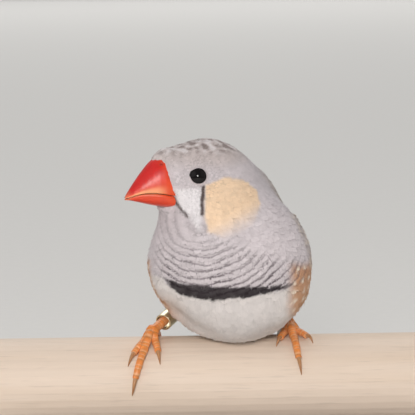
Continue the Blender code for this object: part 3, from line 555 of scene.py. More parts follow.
def quad_mesh(name, points, quads):
    mesh = bpy.data.meshes.new(name)
    mesh.vertices.add(len(points))
    mesh.vertices.foreach_set("co", points.astype(np.float32).ravel())
    mesh.loops.add(quads.size)
    mesh.loops.foreach_set("vertex_index", quads.astype(np.int32).ravel())
    mesh.polygons.add(len(quads))
    mesh.polygons.foreach_set("loop_start", np.arange(0, quads.size, 4, dtype=np.int32))
    mesh.update(calc_edges=True)
    mesh.shade_smooth()
    return mesh


def face_outward(mesh):
    """Turns the faces of a closed mesh outward and shades it smooth."""
    bm = bmesh.new()
    bm.from_mesh(mesh)
    bmesh.ops.recalc_face_normals(bm, faces=bm.faces)
    bm.to_mesh(mesh)
    bm.free()
    mesh.shade_smooth()


class Skin:
    """The finished skin, read for places to root feathers and for the surface near them."""

    def __init__(self, obj):
        self.points, self.normals = mesh_arrays(obj.data)
        obj.data.calc_loop_triangles()
        corners = np.empty(len(obj.data.loop_triangles) * 3, np.int32)
        obj.data.loop_triangles.foreach_get("vertices", corners)
        self.corners = corners.reshape(-1, 3)
        self.tree = BVHTree.FromPolygons(self.points.tolist(), self.corners.tolist())

    def scatter(self, count, draw):
        """Random places over the skin, evenly by area, with their normals."""
        a, b, c = (self.points[self.corners[:, i]] for i in range(3))
        areas = np.linalg.norm(np.cross(b - a, c - a), axis=1)
        chosen = draw.choice(len(areas), count, p=areas / areas.sum())
        u, v = draw.random(count), draw.random(count)
        flip = u + v > 1
        u, v = np.where(flip, 1 - u, u), np.where(flip, 1 - v, v)
        shares = np.stack([1 - u - v, u, v], axis=1)[:, :, None]
        triangles = self.corners[chosen]
        return (self.points[triangles] * shares).sum(1), unit((self.normals[triangles] * shares).sum(1))

    def settle(self, points):
        """The skin's nearest places to some points, and its smoothed normals there."""
        spots = np.empty_like(points)
        normals = np.empty_like(points)
        for i, point in enumerate(points):
            near, _, face, _ = self.tree.find_nearest(Vector(point))
            corners = self.corners[face]
            weights = 1 / (np.linalg.norm(self.points[corners] - np.array(near), axis=1) + 1e-6)
            spots[i] = near
            normals[i] = (self.normals[corners] * weights[:, None]).sum(0)
        return spots, unit(normals)


def spread_out(points, distances):
    """Indices of points that keep their own distance from those kept before them."""
    size = distances.max()
    cells = {}
    kept = []
    keys = np.floor(points / size).astype(int)
    for i, (key, point, distance) in enumerate(zip(map(tuple, keys), points, distances)):
        near = [
            j
            for dx in (-1, 0, 1)
            for dy in (-1, 0, 1)
            for dz in (-1, 0, 1)
            for j in cells.get((key[0] + dx, key[1] + dy, key[2] + dz), ())
        ]
        if near and np.min(np.sum((points[near] - point) ** 2, axis=1)) < distance * distance:
            continue
        cells.setdefault(key, []).append(i)
        kept.append(i)
    return np.array(kept)


# Feathers of the body


def vane_rows(stations, fringe, blunt, draw):
    """One small feather as rows of four points (along, across, up), its rim notched like loose barbs."""
    rows = []
    for i in range(stations + 1):
        t = i / stations
        width = min(1.0, 0.5 + 1.5 * t) * max(0.06, 1 - max(0.0, (t - 0.5) / 0.5) ** blunt) ** 0.5
        row = []
        for side in (1, 0, -1, 0):
            along, across, up = t, side * width, 0.0
            if side and t > 0.3:
                notch = fringe * (i % 2) * draw.uniform(0.5, 1.2)
                across *= 1 - notch
                along -= 0.35 * notch / stations
            if not side:
                up = (0.5 if len(row) == 1 else -0.5) * (1 - 0.8 * t)
            row.append((along, across, up))
        rows.append(row)
    return np.array(rows).reshape(-1, 3)


def ring_quads(rows, sides):
    """Faces of a closed tube of quads: its wall, and its two ends when it has four sides."""
    low = np.arange(rows - 1)[:, None] * sides + np.arange(sides)
    nxt = np.arange(rows - 1)[:, None] * sides + (np.arange(sides) + 1) % sides
    wall = np.stack([low, nxt, nxt + sides, low + sides], axis=-1).reshape(-1, 4)
    ends = np.array([[3, 2, 1, 0], np.arange(4) + (rows - 1) * 4])
    return np.concatenate([wall, ends]) if sides == 4 else wall


def flat_tube_quads(rows, ring):
    """Faces of a closed flat form: its wall, and at each end the quads between its upper and lower side."""
    ends = []
    for start, turn in ((0, -1), ((rows - 1) * ring, 1)):
        for k in range(ring // 2):
            a, b = start + k, start + k + 1
            c, d = start + (ring - k - 1) % ring, start + (ring - k) % ring
            ends.append((a, b, c, d)[::turn])
    return np.concatenate([ring_quads(rows, ring), np.array(ends)])


def hoop_quads(around, section):
    """Faces of a hoop: a section swept once round and joined to its start."""
    total = around * section
    here = np.arange(around)[:, None] * section + np.arange(section)
    there = np.arange(around)[:, None] * section + (np.arange(section) + 1) % section
    quads = [here, there, (there + section) % total, (here + section) % total]
    return np.stack(quads, axis=-1).reshape(-1, 4)


def flow(points, normals, eyes):
    """The lie of the coat: back from the bill, down the breast and towards the tail."""
    bill = np.array(HEAD @ (Vector((0, -8.5, 1.0)) * MM))
    from_bill = unit(points - bill)
    towards_tail = np.array(BODY.to_3x3() @ Vector((0, 0.55, -0.84)))
    place = from_perch(points)
    from_throat = unit(place - THROAT)
    head = local(points, HEAD)
    away = smooth(8.5, 15.0, np.linalg.norm(head * (1, 0.9, 1), axis=1))
    front = smooth(20, 10, np.linalg.norm(place - THROAT, axis=1)) * smooth(0, -6, place[:, 1])
    lie = mixed(from_bill, towards_tail, away)
    lie = unit(mixed(lie, from_throat, 0.75 * away * front))
    lie = unit(lie - normals * np.sum(lie * normals, axis=1)[:, None])
    for eye in eyes:
        centre = np.array(eye.translation)
        apart = points - centre
        apart -= normals * np.sum(apart * normals, axis=1)[:, None]
        distance = np.linalg.norm(apart, axis=1)
        outward = apart / np.maximum(distance, 1e-9)[:, None]
        inward = np.minimum(np.sum(lie * outward, axis=1), 0)
        lie = lie - outward * (inward * smooth(6.0 * MM, 3.2 * MM, distance) * 1.15)[:, None]
        lie = unit(lie)
    return lie


SCATTERED = 90000
# Bare skin round each lid, from the eye's axis, and how much wider it is in front
BARE_EYE, BARE_EYE_FRONT = 2.05, 0.55
# Low and high corner of the pocket that the bill fills, from the head's centre
BILL_POCKET = ((-4.9, -99, -5.1), (4.9, -11.4, 6.0))
# No feather is rooted nearer than this to a leg or to the perch
LEG_CLEARANCE = 0.7 * MM


class Coat:
    """Roots, directions and sizes of all the body's feathers."""

    def __init__(self, skin, eyes):
        sizes = bpy.context.scene.finch_coat
        self.draw = np.random.default_rng(sizes.seed)
        self.skin = skin
        self.eyes = eyes
        points, normals = skin.scatter(SCATTERED, self.draw)
        clear = self.clear_of_bare_parts(points)
        points, normals = points[clear], normals[clear]
        head = local(points, HEAD)
        near_head = smooth(15.5, 11.5, np.linalg.norm(head, axis=1))
        face = near_head * np.maximum(smooth(-3.5, -7.0, head[:, 1]), self.near_eye(points))
        spacing = sizes.body_spacing + (sizes.head_spacing - sizes.body_spacing) * near_head
        spacing = spacing + (sizes.face_spacing - spacing) * face
        kept = spread_out(points, spacing)
        self.roots, self.normals = points[kept], normals[kept]
        self.spacing = spacing[kept]
        self.face, self.near_head = face[kept], near_head[kept]
        self.lie = self.turned(flow(self.roots, self.normals, eyes), 0.10)
        self.length = self.lengths(sizes)

    def turned(self, lie, spread):
        """Directions turned a little, each by its own random angle."""
        across = np.cross(self.normals, lie)
        angle = self.draw.normal(0, spread, len(lie))[:, None]
        return unit(lie * np.cos(angle) + across * np.sin(angle))

    def near_eye(self, points):
        distances = [np.linalg.norm(points - np.array(eye.translation), axis=1) for eye in self.eyes]
        return smooth(5.2 * MM, 3.6 * MM, np.min(distances, axis=0))

    def clear_of_bare_parts(self, points):
        """True where feathers grow: not in the eye sockets, the bill's pocket or against the legs."""
        clear = np.ones(len(points), bool)
        for eye in self.eyes:
            apart = points - np.array(eye.translation)
            outward = np.array(eye.to_3x3() @ Vector((0, 0, 1)))
            off_axis = np.linalg.norm(apart - np.outer(apart @ outward, outward), axis=1)
            front = smooth(0.5, 0.95, (apart @ np.array(eye.to_3x3() @ Vector((1, 0, 0)))) / off_axis)
            clear &= (off_axis > (BARE_EYE + BARE_EYE_FRONT * front) * MM) | (apart @ outward < -3 * MM)
        head = local(points, HEAD)
        clear &= ~np.all((head > BILL_POCKET[0]) & (head < BILL_POCKET[1]), axis=1)
        legs = tree_of("foot_left", "foot_right", "tarsus_left", "tarsus_right", "leg_ring", "perch")
        near_legs = np.flatnonzero(clear & (points[:, 2] < PERCH_AXIS.z + 19 * MM))
        for i in near_legs:
            if legs.find_nearest(Vector(points[i]))[3] < LEG_CLEARANCE:
                clear[i] = False
        return clear

    def lengths(self, sizes):
        place = from_perch(self.roots)
        head = local(self.roots, HEAD)
        length = self.spacing * (4.0 + 0.5 * smooth(21, 14, place[:, 2]))
        length = length * (1 - 0.45 * self.near_eye(self.roots))
        arcs = arcs_share(place, head) > 0.25
        wave = clouds(place[arcs], 5.0)
        root_row = row_distance(place[arcs], wave) * MM
        step = sizes.row_step
        tip_row = np.ceil((root_row + 1.35 * step) / step) * step
        length[arcs] = np.clip(tip_row - root_row, 1.2 * step, 2.5 * step)
        self.width = np.where(arcs, 0.42, 0.31)
        return length * self.draw.uniform(0.94, 1.06, len(length))

    def path(self, roots, normals, lie, length):
        """Three places along each feather, laid on the skin, with the skin's normals there."""
        spots, outward = [roots], [normals]
        for _ in range(2):
            ahead, slope = self.skin.settle(spots[-1] + lie * length / 2)
            lie_here = unit(ahead - spots[-1])
            spots.append(spots[-1] + lie_here * length / 2)
            outward.append(slope)
            lie = unit(lie_here - slope * np.sum(lie_here * slope, axis=1)[:, None])
        return np.array(spots), np.array(outward)

    def region(self):
        """The name of the coat piece that each feather belongs to."""
        place = from_perch(self.roots)
        body, head = local(self.roots, BODY), local(self.roots, HEAD)
        names = np.full(len(self.roots), "coat_back", dtype=object)
        in_front, low = body[:, 1] < 3, place[:, 2] < 20.5
        names[in_front] = "coat_breast"
        names[in_front & (place[:, 2] > 29)] = "coat_shoulders"
        names[low] = "coat_belly"
        names[low & (body[:, 1] > 6)] = "coat_rump"
        on_head = self.near_head > 0.45
        names[on_head] = "coat_nape"
        names[on_head & (head[:, 1] < 2.5)] = "coat_crown"
        names[on_head & (head[:, 1] < 2.5) & (head[:, 2] < 1)] = "coat_cheeks"
        names[on_head & (self.face > 0.4)] = "coat_face"
        return names


# Share of a feather's own faces in its shading; the rest is the surface of the coat
OWN_SHADING = 0.12
FEATHER_FORMS = 5
FEATHER_BLUNT = 2.2
FEATHER_SINK = 0.12 * MM
# Half width and length of a feather's patch on the bake's map
FEATHER_PATCH = (0.0015, 0.003)
# A feather that would bend more sharply than this cosine is cut to a share of its length
CREASE, CREASE_SHARE = 0.9, 0.45


def soften_normals(mesh, quads, rise):
    """Shades each side of a feather nearly like the coat's surface, which runs across its upward lines."""
    facing = np.empty(3 * len(mesh.polygons))
    mesh.polygons.foreach_get("normal", facing)
    facing = np.repeat(facing.reshape(-1, 3), 4, axis=0)
    soft = rise.reshape(-1, 3)[quads.reshape(-1)]
    turned = np.where(np.sum(facing * soft, axis=1) < 0, -1.0, 1.0)[:, None]
    blended = unit(facing * OWN_SHADING + soft * turned * (1 - OWN_SHADING))
    mesh.normals_split_custom_set(blended.tolist())


def follow_skin(coat, chosen, length, along):
    """Feathers laid on the skin: middle line, upward and sideways directions at the points, and length."""
    roots, normals, lie = coat.roots[chosen], coat.normals[chosen], coat.lie[chosen]
    spots, outward = coat.path(roots, normals, lie, length)
    creased = np.min(np.sum(outward[:-1] * outward[1:], axis=2), axis=0) < CREASE
    length = np.where(creased[:, None], length * CREASE_SHARE, length)
    spots[:, creased], outward[:, creased] = coat.path(
        roots[creased], normals[creased], lie[creased], length[creased]
    )
    low = np.clip(along * 2, 0, 1.999)
    before = low.astype(int)
    after = np.minimum(before + 1, 2)
    share = (low - before)[..., None]
    each = np.arange(len(chosen))[:, None]
    spine = spots[before, each] * (1 - share) + spots[after, each] * share
    rise = unit(outward[before, each] * (1 - share) + outward[after, each] * share)
    ahead = unit(spots[2] - spots[0])[:, None, :]
    return spine, rise, unit(np.cross(rise, ahead)), length


def paint_feathers(mesh, points, along, length, draw):
    """Paints feathers with the plumage's colours, each a little lighter, darker or shifted, and darker at the
    root as painted shade under the feathers that overlap it.
    """
    count, per_form = along.shape
    jitter = np.repeat(draw.normal(0, 0.025, (count, 3)) * length, per_form, axis=0)
    tip = along.reshape(-1)
    colours = plumage(points.reshape(-1, 3) + jitter, tip)
    # Painted shade: each feather is 7% darker at its root, fading out by 0.7 of its length; the random part is
    # the feather's own tone.
    shade = np.repeat(draw.normal(1, 0.035, count), per_form) * (0.93 + 0.07 * smooth(0.0, 0.7, tip))
    paint(mesh, colours * shade[:, None])


def grow(coat, chosen, name, material, stations, fringe, width, lift, reach=None):
    """A joined mesh of the chosen feathers, each a thin closed vane that follows the skin."""
    draw, count = coat.draw, len(chosen)
    forms = np.array([vane_rows(stations, fringe, FEATHER_BLUNT, draw) for _ in range(FEATHER_FORMS)])
    form = forms[draw.integers(0, FEATHER_FORMS, count)]
    along, across, up = form[..., 0], form[..., 1], form[..., 2]
    length = (coat.length[chosen] if reach is None else reach)[:, None]
    spine, rise, sideways, length = follow_skin(coat, chosen, length, along)
    half = (width * length[:, 0])[:, None] * draw.uniform(0.9, 1.1, (count, 1))
    tall = lift[chosen][:, None] * draw.uniform(0.82, 1.08, (count, 1))
    cup = 0.05 * half * across * across
    climb = (tall + FEATHER_SINK) * np.clip(along, 0, 1) ** 1.1
    height = -FEATHER_SINK + climb - cup + up * 0.05 * half
    points = spine + sideways * (across * half)[..., None] + rise * height[..., None]
    quads = ring_quads(stations + 1, 4)[None] + (np.arange(count) * form.shape[1])[:, None, None]
    mesh = quad_mesh(name, points.reshape(-1, 3), quads.reshape(-1, 4))
    paint_feathers(mesh, points, along, length, draw)
    place = unwrap(coat.roots[chosen])[:, None, :]
    patch = np.stack([FEATHER_PATCH[0] * across, FEATHER_PATCH[1] * (along - 0.5)], axis=-1)
    map_points(mesh, "OFBake", (place + patch).reshape(-1, 2))
    map_points(mesh, "Barbs", np.stack([across, along], axis=-1).reshape(-1, 2))
    soften_normals(mesh, quads, rise)
    return new_object(name, mesh, material)


# Folded wings


WING_LINE = ((12.6, 2.8, 33), (13.0, 9.3, 26.5), (11.6, 17.3, 18), (8.8, 26.9, 7.7), (5.6, 37.2, -3.4))
WING_OUT = ((0.95, -0.2, 0.2), (1, 0.1, 0.1), (0.95, 0.25, 0.15), (0.84, 0.36, 0.3), (0.66, 0.48, 0.56))
WING_HALF = (3.6, 6.4, 7.2, 5.8, 2.2)
WING_BEND = (15, 15, 16, 19, 24)
WING_LENGTH = 52 * MM
WING_GRID = (26, 11)
WING_REACH = 12 * MM
WING_MARGIN = 1.04
WING_CLEARANCE, WING_EDGE_CLEARANCE = 0.6 * MM, 0.05 * MM
WING_SINK = 3.5 * MM


def eased(value, table):
    """Reads (place, size) pairs at value along a smooth curve through them."""
    places, sizes = zip(*table)
    if value <= places[0]:
        return sizes[0]
    if value >= places[-1]:
        return sizes[-1]
    i = max(k for k in range(len(places) - 1) if places[k] <= value)
    before, after = max(i - 1, 0), min(i + 2, len(places) - 1)
    run = places[i + 1] - places[i]
    slope_a = (sizes[i + 1] - sizes[before]) / (places[i + 1] - places[before]) * run
    slope_b = (sizes[after] - sizes[i]) / (places[after] - places[i]) * run
    t = (value - places[i]) / run
    rise = t * t * (3 - 2 * t)
    level = sizes[i] + (sizes[i + 1] - sizes[i]) * rise
    return level + slope_a * t * (1 - t) ** 2 - slope_b * t * t * (1 - t)


def along_line(points, t):
    last = len(points) - 1
    return Vector(eased(t, [(i / last, point[axis]) for i, point in enumerate(points)]) for axis in range(3))


class WingSheet:
    """The curved surface that a folded wing lies on, read by (along, across, height) in metres."""

    def __init__(self, side, tree):
        self.mirror = BODY @ Matrix.Diagonal((side, 1, 1, 1))
        self.tree = tree
        rows, columns = WING_GRID
        self.bend = [(i / 4, value) for i, value in enumerate(WING_BEND)]
        lengths = [WING_LENGTH * WING_MARGIN * i / (rows - 1) for i in range(rows)]
        widths = [WING_REACH * (2 * j / (columns - 1) - 1) for j in range(columns)]
        self.lift = np.array([[self.needed(along, across) for across in widths] for along in lengths])
        for _ in range(6):
            padded = np.pad(self.lift, 1, mode="edge")
            around = padded[:-2, 1:-1] + padded[2:, 1:-1] + padded[1:-1, :-2] + padded[1:-1, 2:]
            self.lift = np.maximum(self.lift, around / 4)

    def bare(self, along, across):
        """A place and its outward direction on the wing's own curve, before it is fitted to the skin."""
        t = max(0.0, min(1.0, along / WING_LENGTH))
        ahead, behind = along_line(WING_LINE, min(1, t + 0.02)), along_line(WING_LINE, max(0, t - 0.02))
        lead = (ahead - behind).normalized()
        outward = along_line(WING_OUT, t)
        outward = (outward - lead * outward.dot(lead)).normalized()
        up = outward.cross(lead)
        bend = eased(t, self.bend) * MM
        turn = across / bend
        point = along_line(WING_LINE, t) * MM + (along - t * WING_LENGTH) * lead
        point += up * bend * math.sin(turn) - outward * bend * (1 - math.cos(turn))
        normal = outward * math.cos(turn) + up * math.sin(turn)
        return self.mirror @ point, (self.mirror.to_3x3() @ normal).normalized()

    def needed(self, along, across):
        """How far out the sheet is moved: clear of the skin, and in front also down onto it."""
        point, normal = self.bare(along, across)
        inner = float(smooth(-2.0, 6.0, along / MM) * smooth(12.5, 8.0, across / MM))
        wanted = WING_EDGE_CLEARANCE + (WING_CLEARANCE - WING_EDGE_CLEARANCE) * inner
        sunk = WING_SINK * float(smooth(34.0, 18.0, along / MM))
        raised = 0.0
        for _ in range(30):
            near, surface, _, distance = self.tree.find_nearest(point + normal * raised)
            room = distance if (point + normal * raised - near).dot(surface) > 0 else -distance
            step = wanted - room
            if abs(step) < 0.02 * MM:
                break
            raised = max(raised + 0.8 * step, -sunk)
        return raised

    def at(self, along, across, height):
        """The point at a height over the fitted sheet."""
        rows, columns = WING_GRID
        x = max(0, min(rows - 1.001, along / (WING_LENGTH * WING_MARGIN) * (rows - 1)))
        y = max(0, min(columns - 1.001, (across / WING_REACH + 1) / 2 * (columns - 1)))
        i, j = int(x), int(y)
        u, v = x - i, y - j
        low = self.lift[i, j] * (1 - v) + self.lift[i, j + 1] * v
        high = self.lift[i + 1, j] * (1 - v) + self.lift[i + 1, j + 1] * v
        point, normal = self.bare(along, across)
        return point + normal * (low * (1 - u) + high * u + height)


# Places of a vane's points from its left rim to its right one
VANE_SHARES = np.array((-1, -0.82, -0.55, -0.22, 0, 0.22, 0.55, 0.82, 1))


def vane_colour(hues, share, t, edge, bands):
    """Colour of a large feather at a share of its half width and a share of its length."""
    vane, shaft, rim = (np.array(hue) for hue in hues)
    if bands:
        vane = np.array(bands(t))
    border = abs(share) if t < 0.8 else max(abs(share), (t - 0.6) / 0.4)
    outer = smooth(1 - edge * 2.4, 1 - edge * 0.5, border)
    hue = vane * (1 - outer) + rim * outer
    middle = max(0.0, 1 - abs(share) / 0.2) * (0.75 - 0.35 * t)
    return hue * (1 - middle) + shaft * middle


class Feathers:
    """Collects large feathers, each a closed vane of many quads, into one joined mesh."""

    def __init__(self, seed, cells):
        self.points, self.quads, self.colours, self.barbs, self.bake = [], [], [], [], []
        self.total = 0
        self.count = 0
        self.cells = cells
        self.draw = np.random.default_rng(seed)

    def add(self, points, colours, barbs, cell, rows, ring):
        """Adds a closed flat form; cell gives its places, from 0 to 1, in its own cell of the bake's map."""
        self.quads.append(flat_tube_quads(rows, ring) + self.total)
        self.points.append(np.array(points))
        self.colours.append(colours)
        self.barbs.append(barbs)
        corner = np.array((self.count % self.cells, self.count // self.cells))
        self.bake.append((corner + cell) / self.cells)
        self.total += len(points)
        self.count += 1

    def vane(
        self, place, root, tip, half, height, stations, hues,
        blunt=0.5, edge=0.16, thick=0.26 * MM, bands=None, dip=0.0,
    ):
        """A feather from root to tip, given as (along, across) on the surface that place reads.

        hues are the vane's, the shaft's and the edge's colours; bands colours it by its length instead.
        dip is how far the root lies below the height that the tip has.
        """
        line = Vector(tip) - Vector(root)
        side = Vector((-line.y, line.x)).normalized()
        rim = len(VANE_SHARES)
        ring = rim * 2 - 2
        notches = self.draw.uniform(0, 1, (stations + 1, 2)) < 0.10
        points, colours, barbs = [], [], []
        for row in range(stations + 1):
            t = row / stations
            t += 0.06 * math.sin(math.pi * t)
            grown = min(1, 0.42 + 1.7 * t)
            tapered = max(0, 1 - max(0, (t - 0.7) / 0.3) ** 2) ** blunt
            width = half * grown * max(tapered, 0.05)
            spot_here = Vector(root) + line * t
            for k in range(ring):
                upper = k < rim
                share = VANE_SHARES[k] if upper else VANE_SHARES[ring - k]
                across = share
                if abs(share) == 1 and row > 1 and notches[row, int(share > 0)]:
                    across = share * 0.8
                flat = spot_here + side * width * across
                dome = 1 - 0.75 * share * share
                quill = 0.12 * MM * max(0, 1 - abs(share) / 0.2) * (1 - 0.6 * t)
                base = height - dip * (1 - t) ** 1.5
                level = base + (thick * dome + quill if upper else 0.0)
                if abs(share) == 1:
                    level = base + thick * 0.1
                points.append(place(flat.x, flat.y, level))
                barbs.append((share, t))
                colours.append(vane_colour(hues, share, t, edge, bands))
        shade = self.draw.normal(1, 0.03)
        barbs = np.array(barbs)
        cell = barbs * (0.42, 0.84) + (0.5, 0.08)
        self.add(points, np.array(colours) * shade, barbs, cell, stations + 1, ring)

    def finish(self, name, material):
        mesh = quad_mesh(name, np.concatenate(self.points), np.concatenate(self.quads))
        paint(mesh, np.concatenate(self.colours))
        map_points(mesh, "OFBake", np.concatenate(self.bake))
        map_points(mesh, "Barbs", np.concatenate(self.barbs))
        return new_object(name, mesh, material)


# Tiers of a folded wing in millimetres: count, first root and its step, first tip and its step,
# both as (along, across), half the width, height off the body and its step, rows of quads
WING_TIERS = {
    "primaries": (7, (12, -4.0), (0.6, 0.45), (51.6, -0.6), (-2.2, 0.6), 2.1, 0.0, 0.07, 26),
    "secondaries": (7, (11, -1.6), (0, 0.8), (38.6, 0.6), (-0.95, 0.72), 2.4, 0.12, 0.05, 22),
    "tertials": (3, (10, 3.0), (-0.8, 0.8), (37, 3.4), (-3.6, 0.7), 2.6, 0.36, 0.08, 20),
    "primary coverts": (5, (8, -5.2), (0, 0.35), (22.5, -5.2), (-1.5, 0.5), 1.1, 0.1, 0.04, 14),
    "greater coverts": (11, (7, -4.9), (0, 1.0), (18.4, -5.5), (0.1, 1.14), 1.25, 0.26, 0.03, 13),
    "median coverts": (11, (4.6, -4.6), (0, 0.94), (13.0, -5.2), (0.07, 1.06), 1.1, 0.34, 0.025, 11),
    "lesser coverts, third row": (11, (3.2, -4.2), (0, 0.85), (10.2, -4.8), (0.05, 0.97), 1.0, 0.36, 0.02, 9),
    "lesser coverts, second row": (
        10, (1.8, -3.8), (0, 0.82), (7.6, -4.4), (0.05, 0.97), 0.95, 0.32, 0.02, 9,
    ),
    "lesser coverts, first row": (9, (0.3, -3.2), (0, 0.75), (5.0, -3.8), (0.05, 0.92), 0.9, 0.24, 0.02, 9),
    "lesser coverts of the shoulder": (
        8, (-2.2, -4.6), (0.1, 0.95), (3.2, -5.0), (0.05, 1.05), 1.2, 0.12, 0.02, 9,
    ),
    "scapulars, inner row": (13, (2.7, 11.1), (1.85, -0.05), (10.8, 7.5), (1.9, -0.06), 1.7, -0.1, 0.02, 11),
    "scapulars, middle row": (12, (1.9, 9.3), (1.85, -0.05), (10.4, 5.5), (1.9, -0.06), 1.7, 0.05, 0.02, 11),
    "scapulars, outer row": (10, (1.4, 7.4), (1.85, -0.05), (9.4, 3.8), (1.9, -0.06), 1.6, 0.25, 0.02, 11),
}
SCAPULAR_DIP = 0.9 * MM
ARM_ROWS, ARM_RING = 18, 16
CORE_HEIGHT = ((0, 0.4), (0.1, 0.5), (0.25, 0.62), (0.45, 0.6), (0.66, 0.45))


def wing_arm(sheet, feathers, hue):
    """The covered arm of the wing as one rounded form beneath its coverts."""
    half_table = [(i / 4, value) for i, value in enumerate(WING_HALF)]
    shares = np.linspace(-1, 1, ARM_RING // 2 + 1)
    points = []
    for i in range(ARM_ROWS):
        t = 0.014 + 0.6 * i / (ARM_ROWS - 1)
        half = eased(t, half_table) * MM * (0.62 if i == 0 else 0.5 if i == ARM_ROWS - 1 else 0.9)
        crown = max(eased(t, CORE_HEIGHT) * MM - 0.35 * MM, 0.1 * MM)
        outer = [sheet.at(t * WING_LENGTH, s * half, 0.1 * MM + crown * (1 - s * s) ** 0.6) for s in shares]
        inner = [sheet.at(t * WING_LENGTH, s * half, 0) for s in shares[-2:0:-1]]
        points.extend(outer + inner)
    flat = np.array([(k % ARM_RING / ARM_RING, k // ARM_RING / ARM_ROWS) for k in range(len(points))])
    colours = np.tile(np.array(hue), (len(points), 1))
    feathers.add(points, colours, flat, 0.05 + 0.9 * flat, ARM_ROWS, ARM_RING)


# Bill: distances forward of the head's centre and heights above it, in millimetres


CULMEN = ((7.2, 6.0), (9.0, 5.9), (11.1, 5.05), (13.4, 3.25), (15.4, 1.4), (17.0, -0.2), (18.1, -1.3))
TOMIUM = ((7.2, -2.7), (9.2, -2.0), (12.0, -1.2), (15.0, -0.95), (18.1, -1.6))
KEEL = ((7.2, -5.1), (9.0, -4.8), (10.6, -4.45), (13.0, -3.65), (15.4, -2.75), (17.2, -2.1), (18.1, -1.9))
BILL_WIDTH = ((7.2, 4.7), (9.0, 4.6), (11.0, 4.1), (13.4, 3.0), (15.6, 1.9), (17.2, 1.0), (18.1, 0.35))
BILL_ROOT, BILL_TIP = 7.2, 18.1
# Rings of points along the bill, steps over its back and points across its mouth side
BILL_RINGS, BILL_ARC, MOUTH_POINTS = 96, 56, 5
MOUTH_GAP = 0.16
NOSTRIL = Vector((2.45, -10.2, 4.7))
NOSTRIL_RADIUS = 0.36
NOSTRIL_DEPTH = 0.3


def bill_ring(look, lower, share):
    """Points and colours of one ring of a half bill, share of the way from its root to its tip."""
    sign = -1 if lower else 1
    forward = BILL_ROOT + (BILL_TIP - BILL_ROOT) * share
    edge = eased(forward, TOMIUM) + sign * MOUTH_GAP / 2
    ridge = eased(forward, KEEL if lower else CULMEN)
    half = eased(forward, BILL_WIDTH) * (0.93 if lower else 1.0)
    if share > 0.97:
        half *= 0.75
    points, hues = [], []
    for k in range(BILL_ARC + 1):
        turn = math.pi * k / BILL_ARC
        across = math.copysign(abs(math.cos(turn)) ** 0.8, math.cos(turn))
        rise = math.sin(turn) ** (0.55 if lower else 0.92)
        keel = 0.06 * half * math.exp(-(((turn - math.pi / 2) / 0.22) ** 2))
        height = edge + (ridge - edge) * rise + (0 if lower else keel)
        place = Vector((half * across, -forward, height))
        apart = Vector((abs(place.x), place.y, place.z)) - NOSTRIL
        dent = 0 if lower else math.exp(-((apart.length / NOSTRIL_RADIUS) ** 2))
        points.append(place - Vector((math.copysign(0.8, place.x), 0, 0.6)) * NOSTRIL_DEPTH * dent)
        # Painted shade: the nostril's dent is painted up to half as dark as the horn around it.
        hues.append(bill_hue(look, lower, forward, rise) * (1 - 0.5 * dent))
    for k in range(1, MOUTH_POINTS + 1):
        across = (-1 + k / 3) * 0.86
        points.append((half * across, -forward, edge + sign * 0.25 * (1 - across * across)))
        hues.append(bill_hue(look, lower, forward, 0.0))
    return points, hues


def bill_half(name, lower, material):
    """One half of the bill: a loft whose section is rounded above and has a thin cutting edge."""
    look = bpy.context.scene.finch_bill
    points, hues = [], []
    for i in range(BILL_RINGS):
        ring_points, ring_hues = bill_ring(look, lower, (i / (BILL_RINGS - 1)) ** 0.85)
        points.extend(ring_points)
        hues.extend(ring_hues)
    ring = BILL_ARC + 1 + MOUTH_POINTS
    faces = ring_quads(BILL_RINGS, ring).tolist()
    faces += [list(range(ring))[::-1], [k + (BILL_RINGS - 1) * ring for k in range(ring)]]
    mesh = bpy.data.meshes.new(name)
    mesh.from_pydata(placed(np.array(points) * MM, HEAD).tolist(), [], faces)
    face_outward(mesh)
    paint(mesh, np.array(hues))
    return new_object(name, mesh, material)


def bill_hue(look, lower, forward, rise):
    """Red towards the ridge and the tip, orange near the face and low on the sides, pale along the mouth edge
    as a painted highlight.
    """
    hue = np.array(look.lower if lower else look.ridge)
    near_face = float(smooth(11.5, 7.5, forward)) * (0.6 if lower else 0.9)
    hue = hue + (np.array(look.base) - hue) * near_face
    low = float(smooth(0.75, 0.1, rise)) * (0.35 if lower else 0.55)
    hue = hue + (np.array(look.base) - hue) * low
    # Painted highlight: a pale band along the mouth edge, strong on the upper bill and faint on the lower.
    edge = float(smooth(0.16, 0.0, rise) * 0.3 if lower else smooth(0.34, 0.1, rise) * 0.8)
    edge *= float(smooth(9.5, 12.5, forward))
    tip = float(smooth(16.6, 18.1, forward)) * 0.35
    return hue + (np.array(look.edge) - hue) * max(edge, tip)


# Eyes


# Points round the lids and in their section
LID_AROUND, LID_SECTION = 128, 16
LID_WIDTH = 0.46
LID_RISE = 0.10
LID_BED, LID_SLOPE = 2.0, 0.055
EYE_AXIS = Vector((0, -4.3, 1.7)) * MM
EYE_SET = 2.15 * MM
EYE_CORNER = Vector((0, -0.88, 0.47))


def eye_places():
    """The frame of each eyeball: its centre, with +Z out and +X to the front corner of the lids.

    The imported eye's middle lies straight under the place where a line from the head's inside leaves
    the skin sideways, so that line gives the way out.
    """
    places = []
    turned = HEAD.to_3x3()
    for side, sign in (("left", 1), ("right", -1)):
        low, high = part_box("eye_" + side)
        centre = (low + high) / 2
        apart = HEAD @ EYE_AXIS - centre
        sideways = turned @ Vector((sign, 0, 0))
        along = apart.dot(sideways)
        reach = -along + math.sqrt(max(0, along * along - apart.dot(apart) + EYE_SET * EYE_SET))
        outward = (apart + sideways * reach).normalized()
        forward = turned @ EYE_CORNER
        level = (forward - outward * forward.dot(outward)).normalized()
        turn = Matrix((level, outward.cross(level), outward)).transposed().to_4x4()
        places.append(Matrix.Translation(centre) @ turn)
    return places


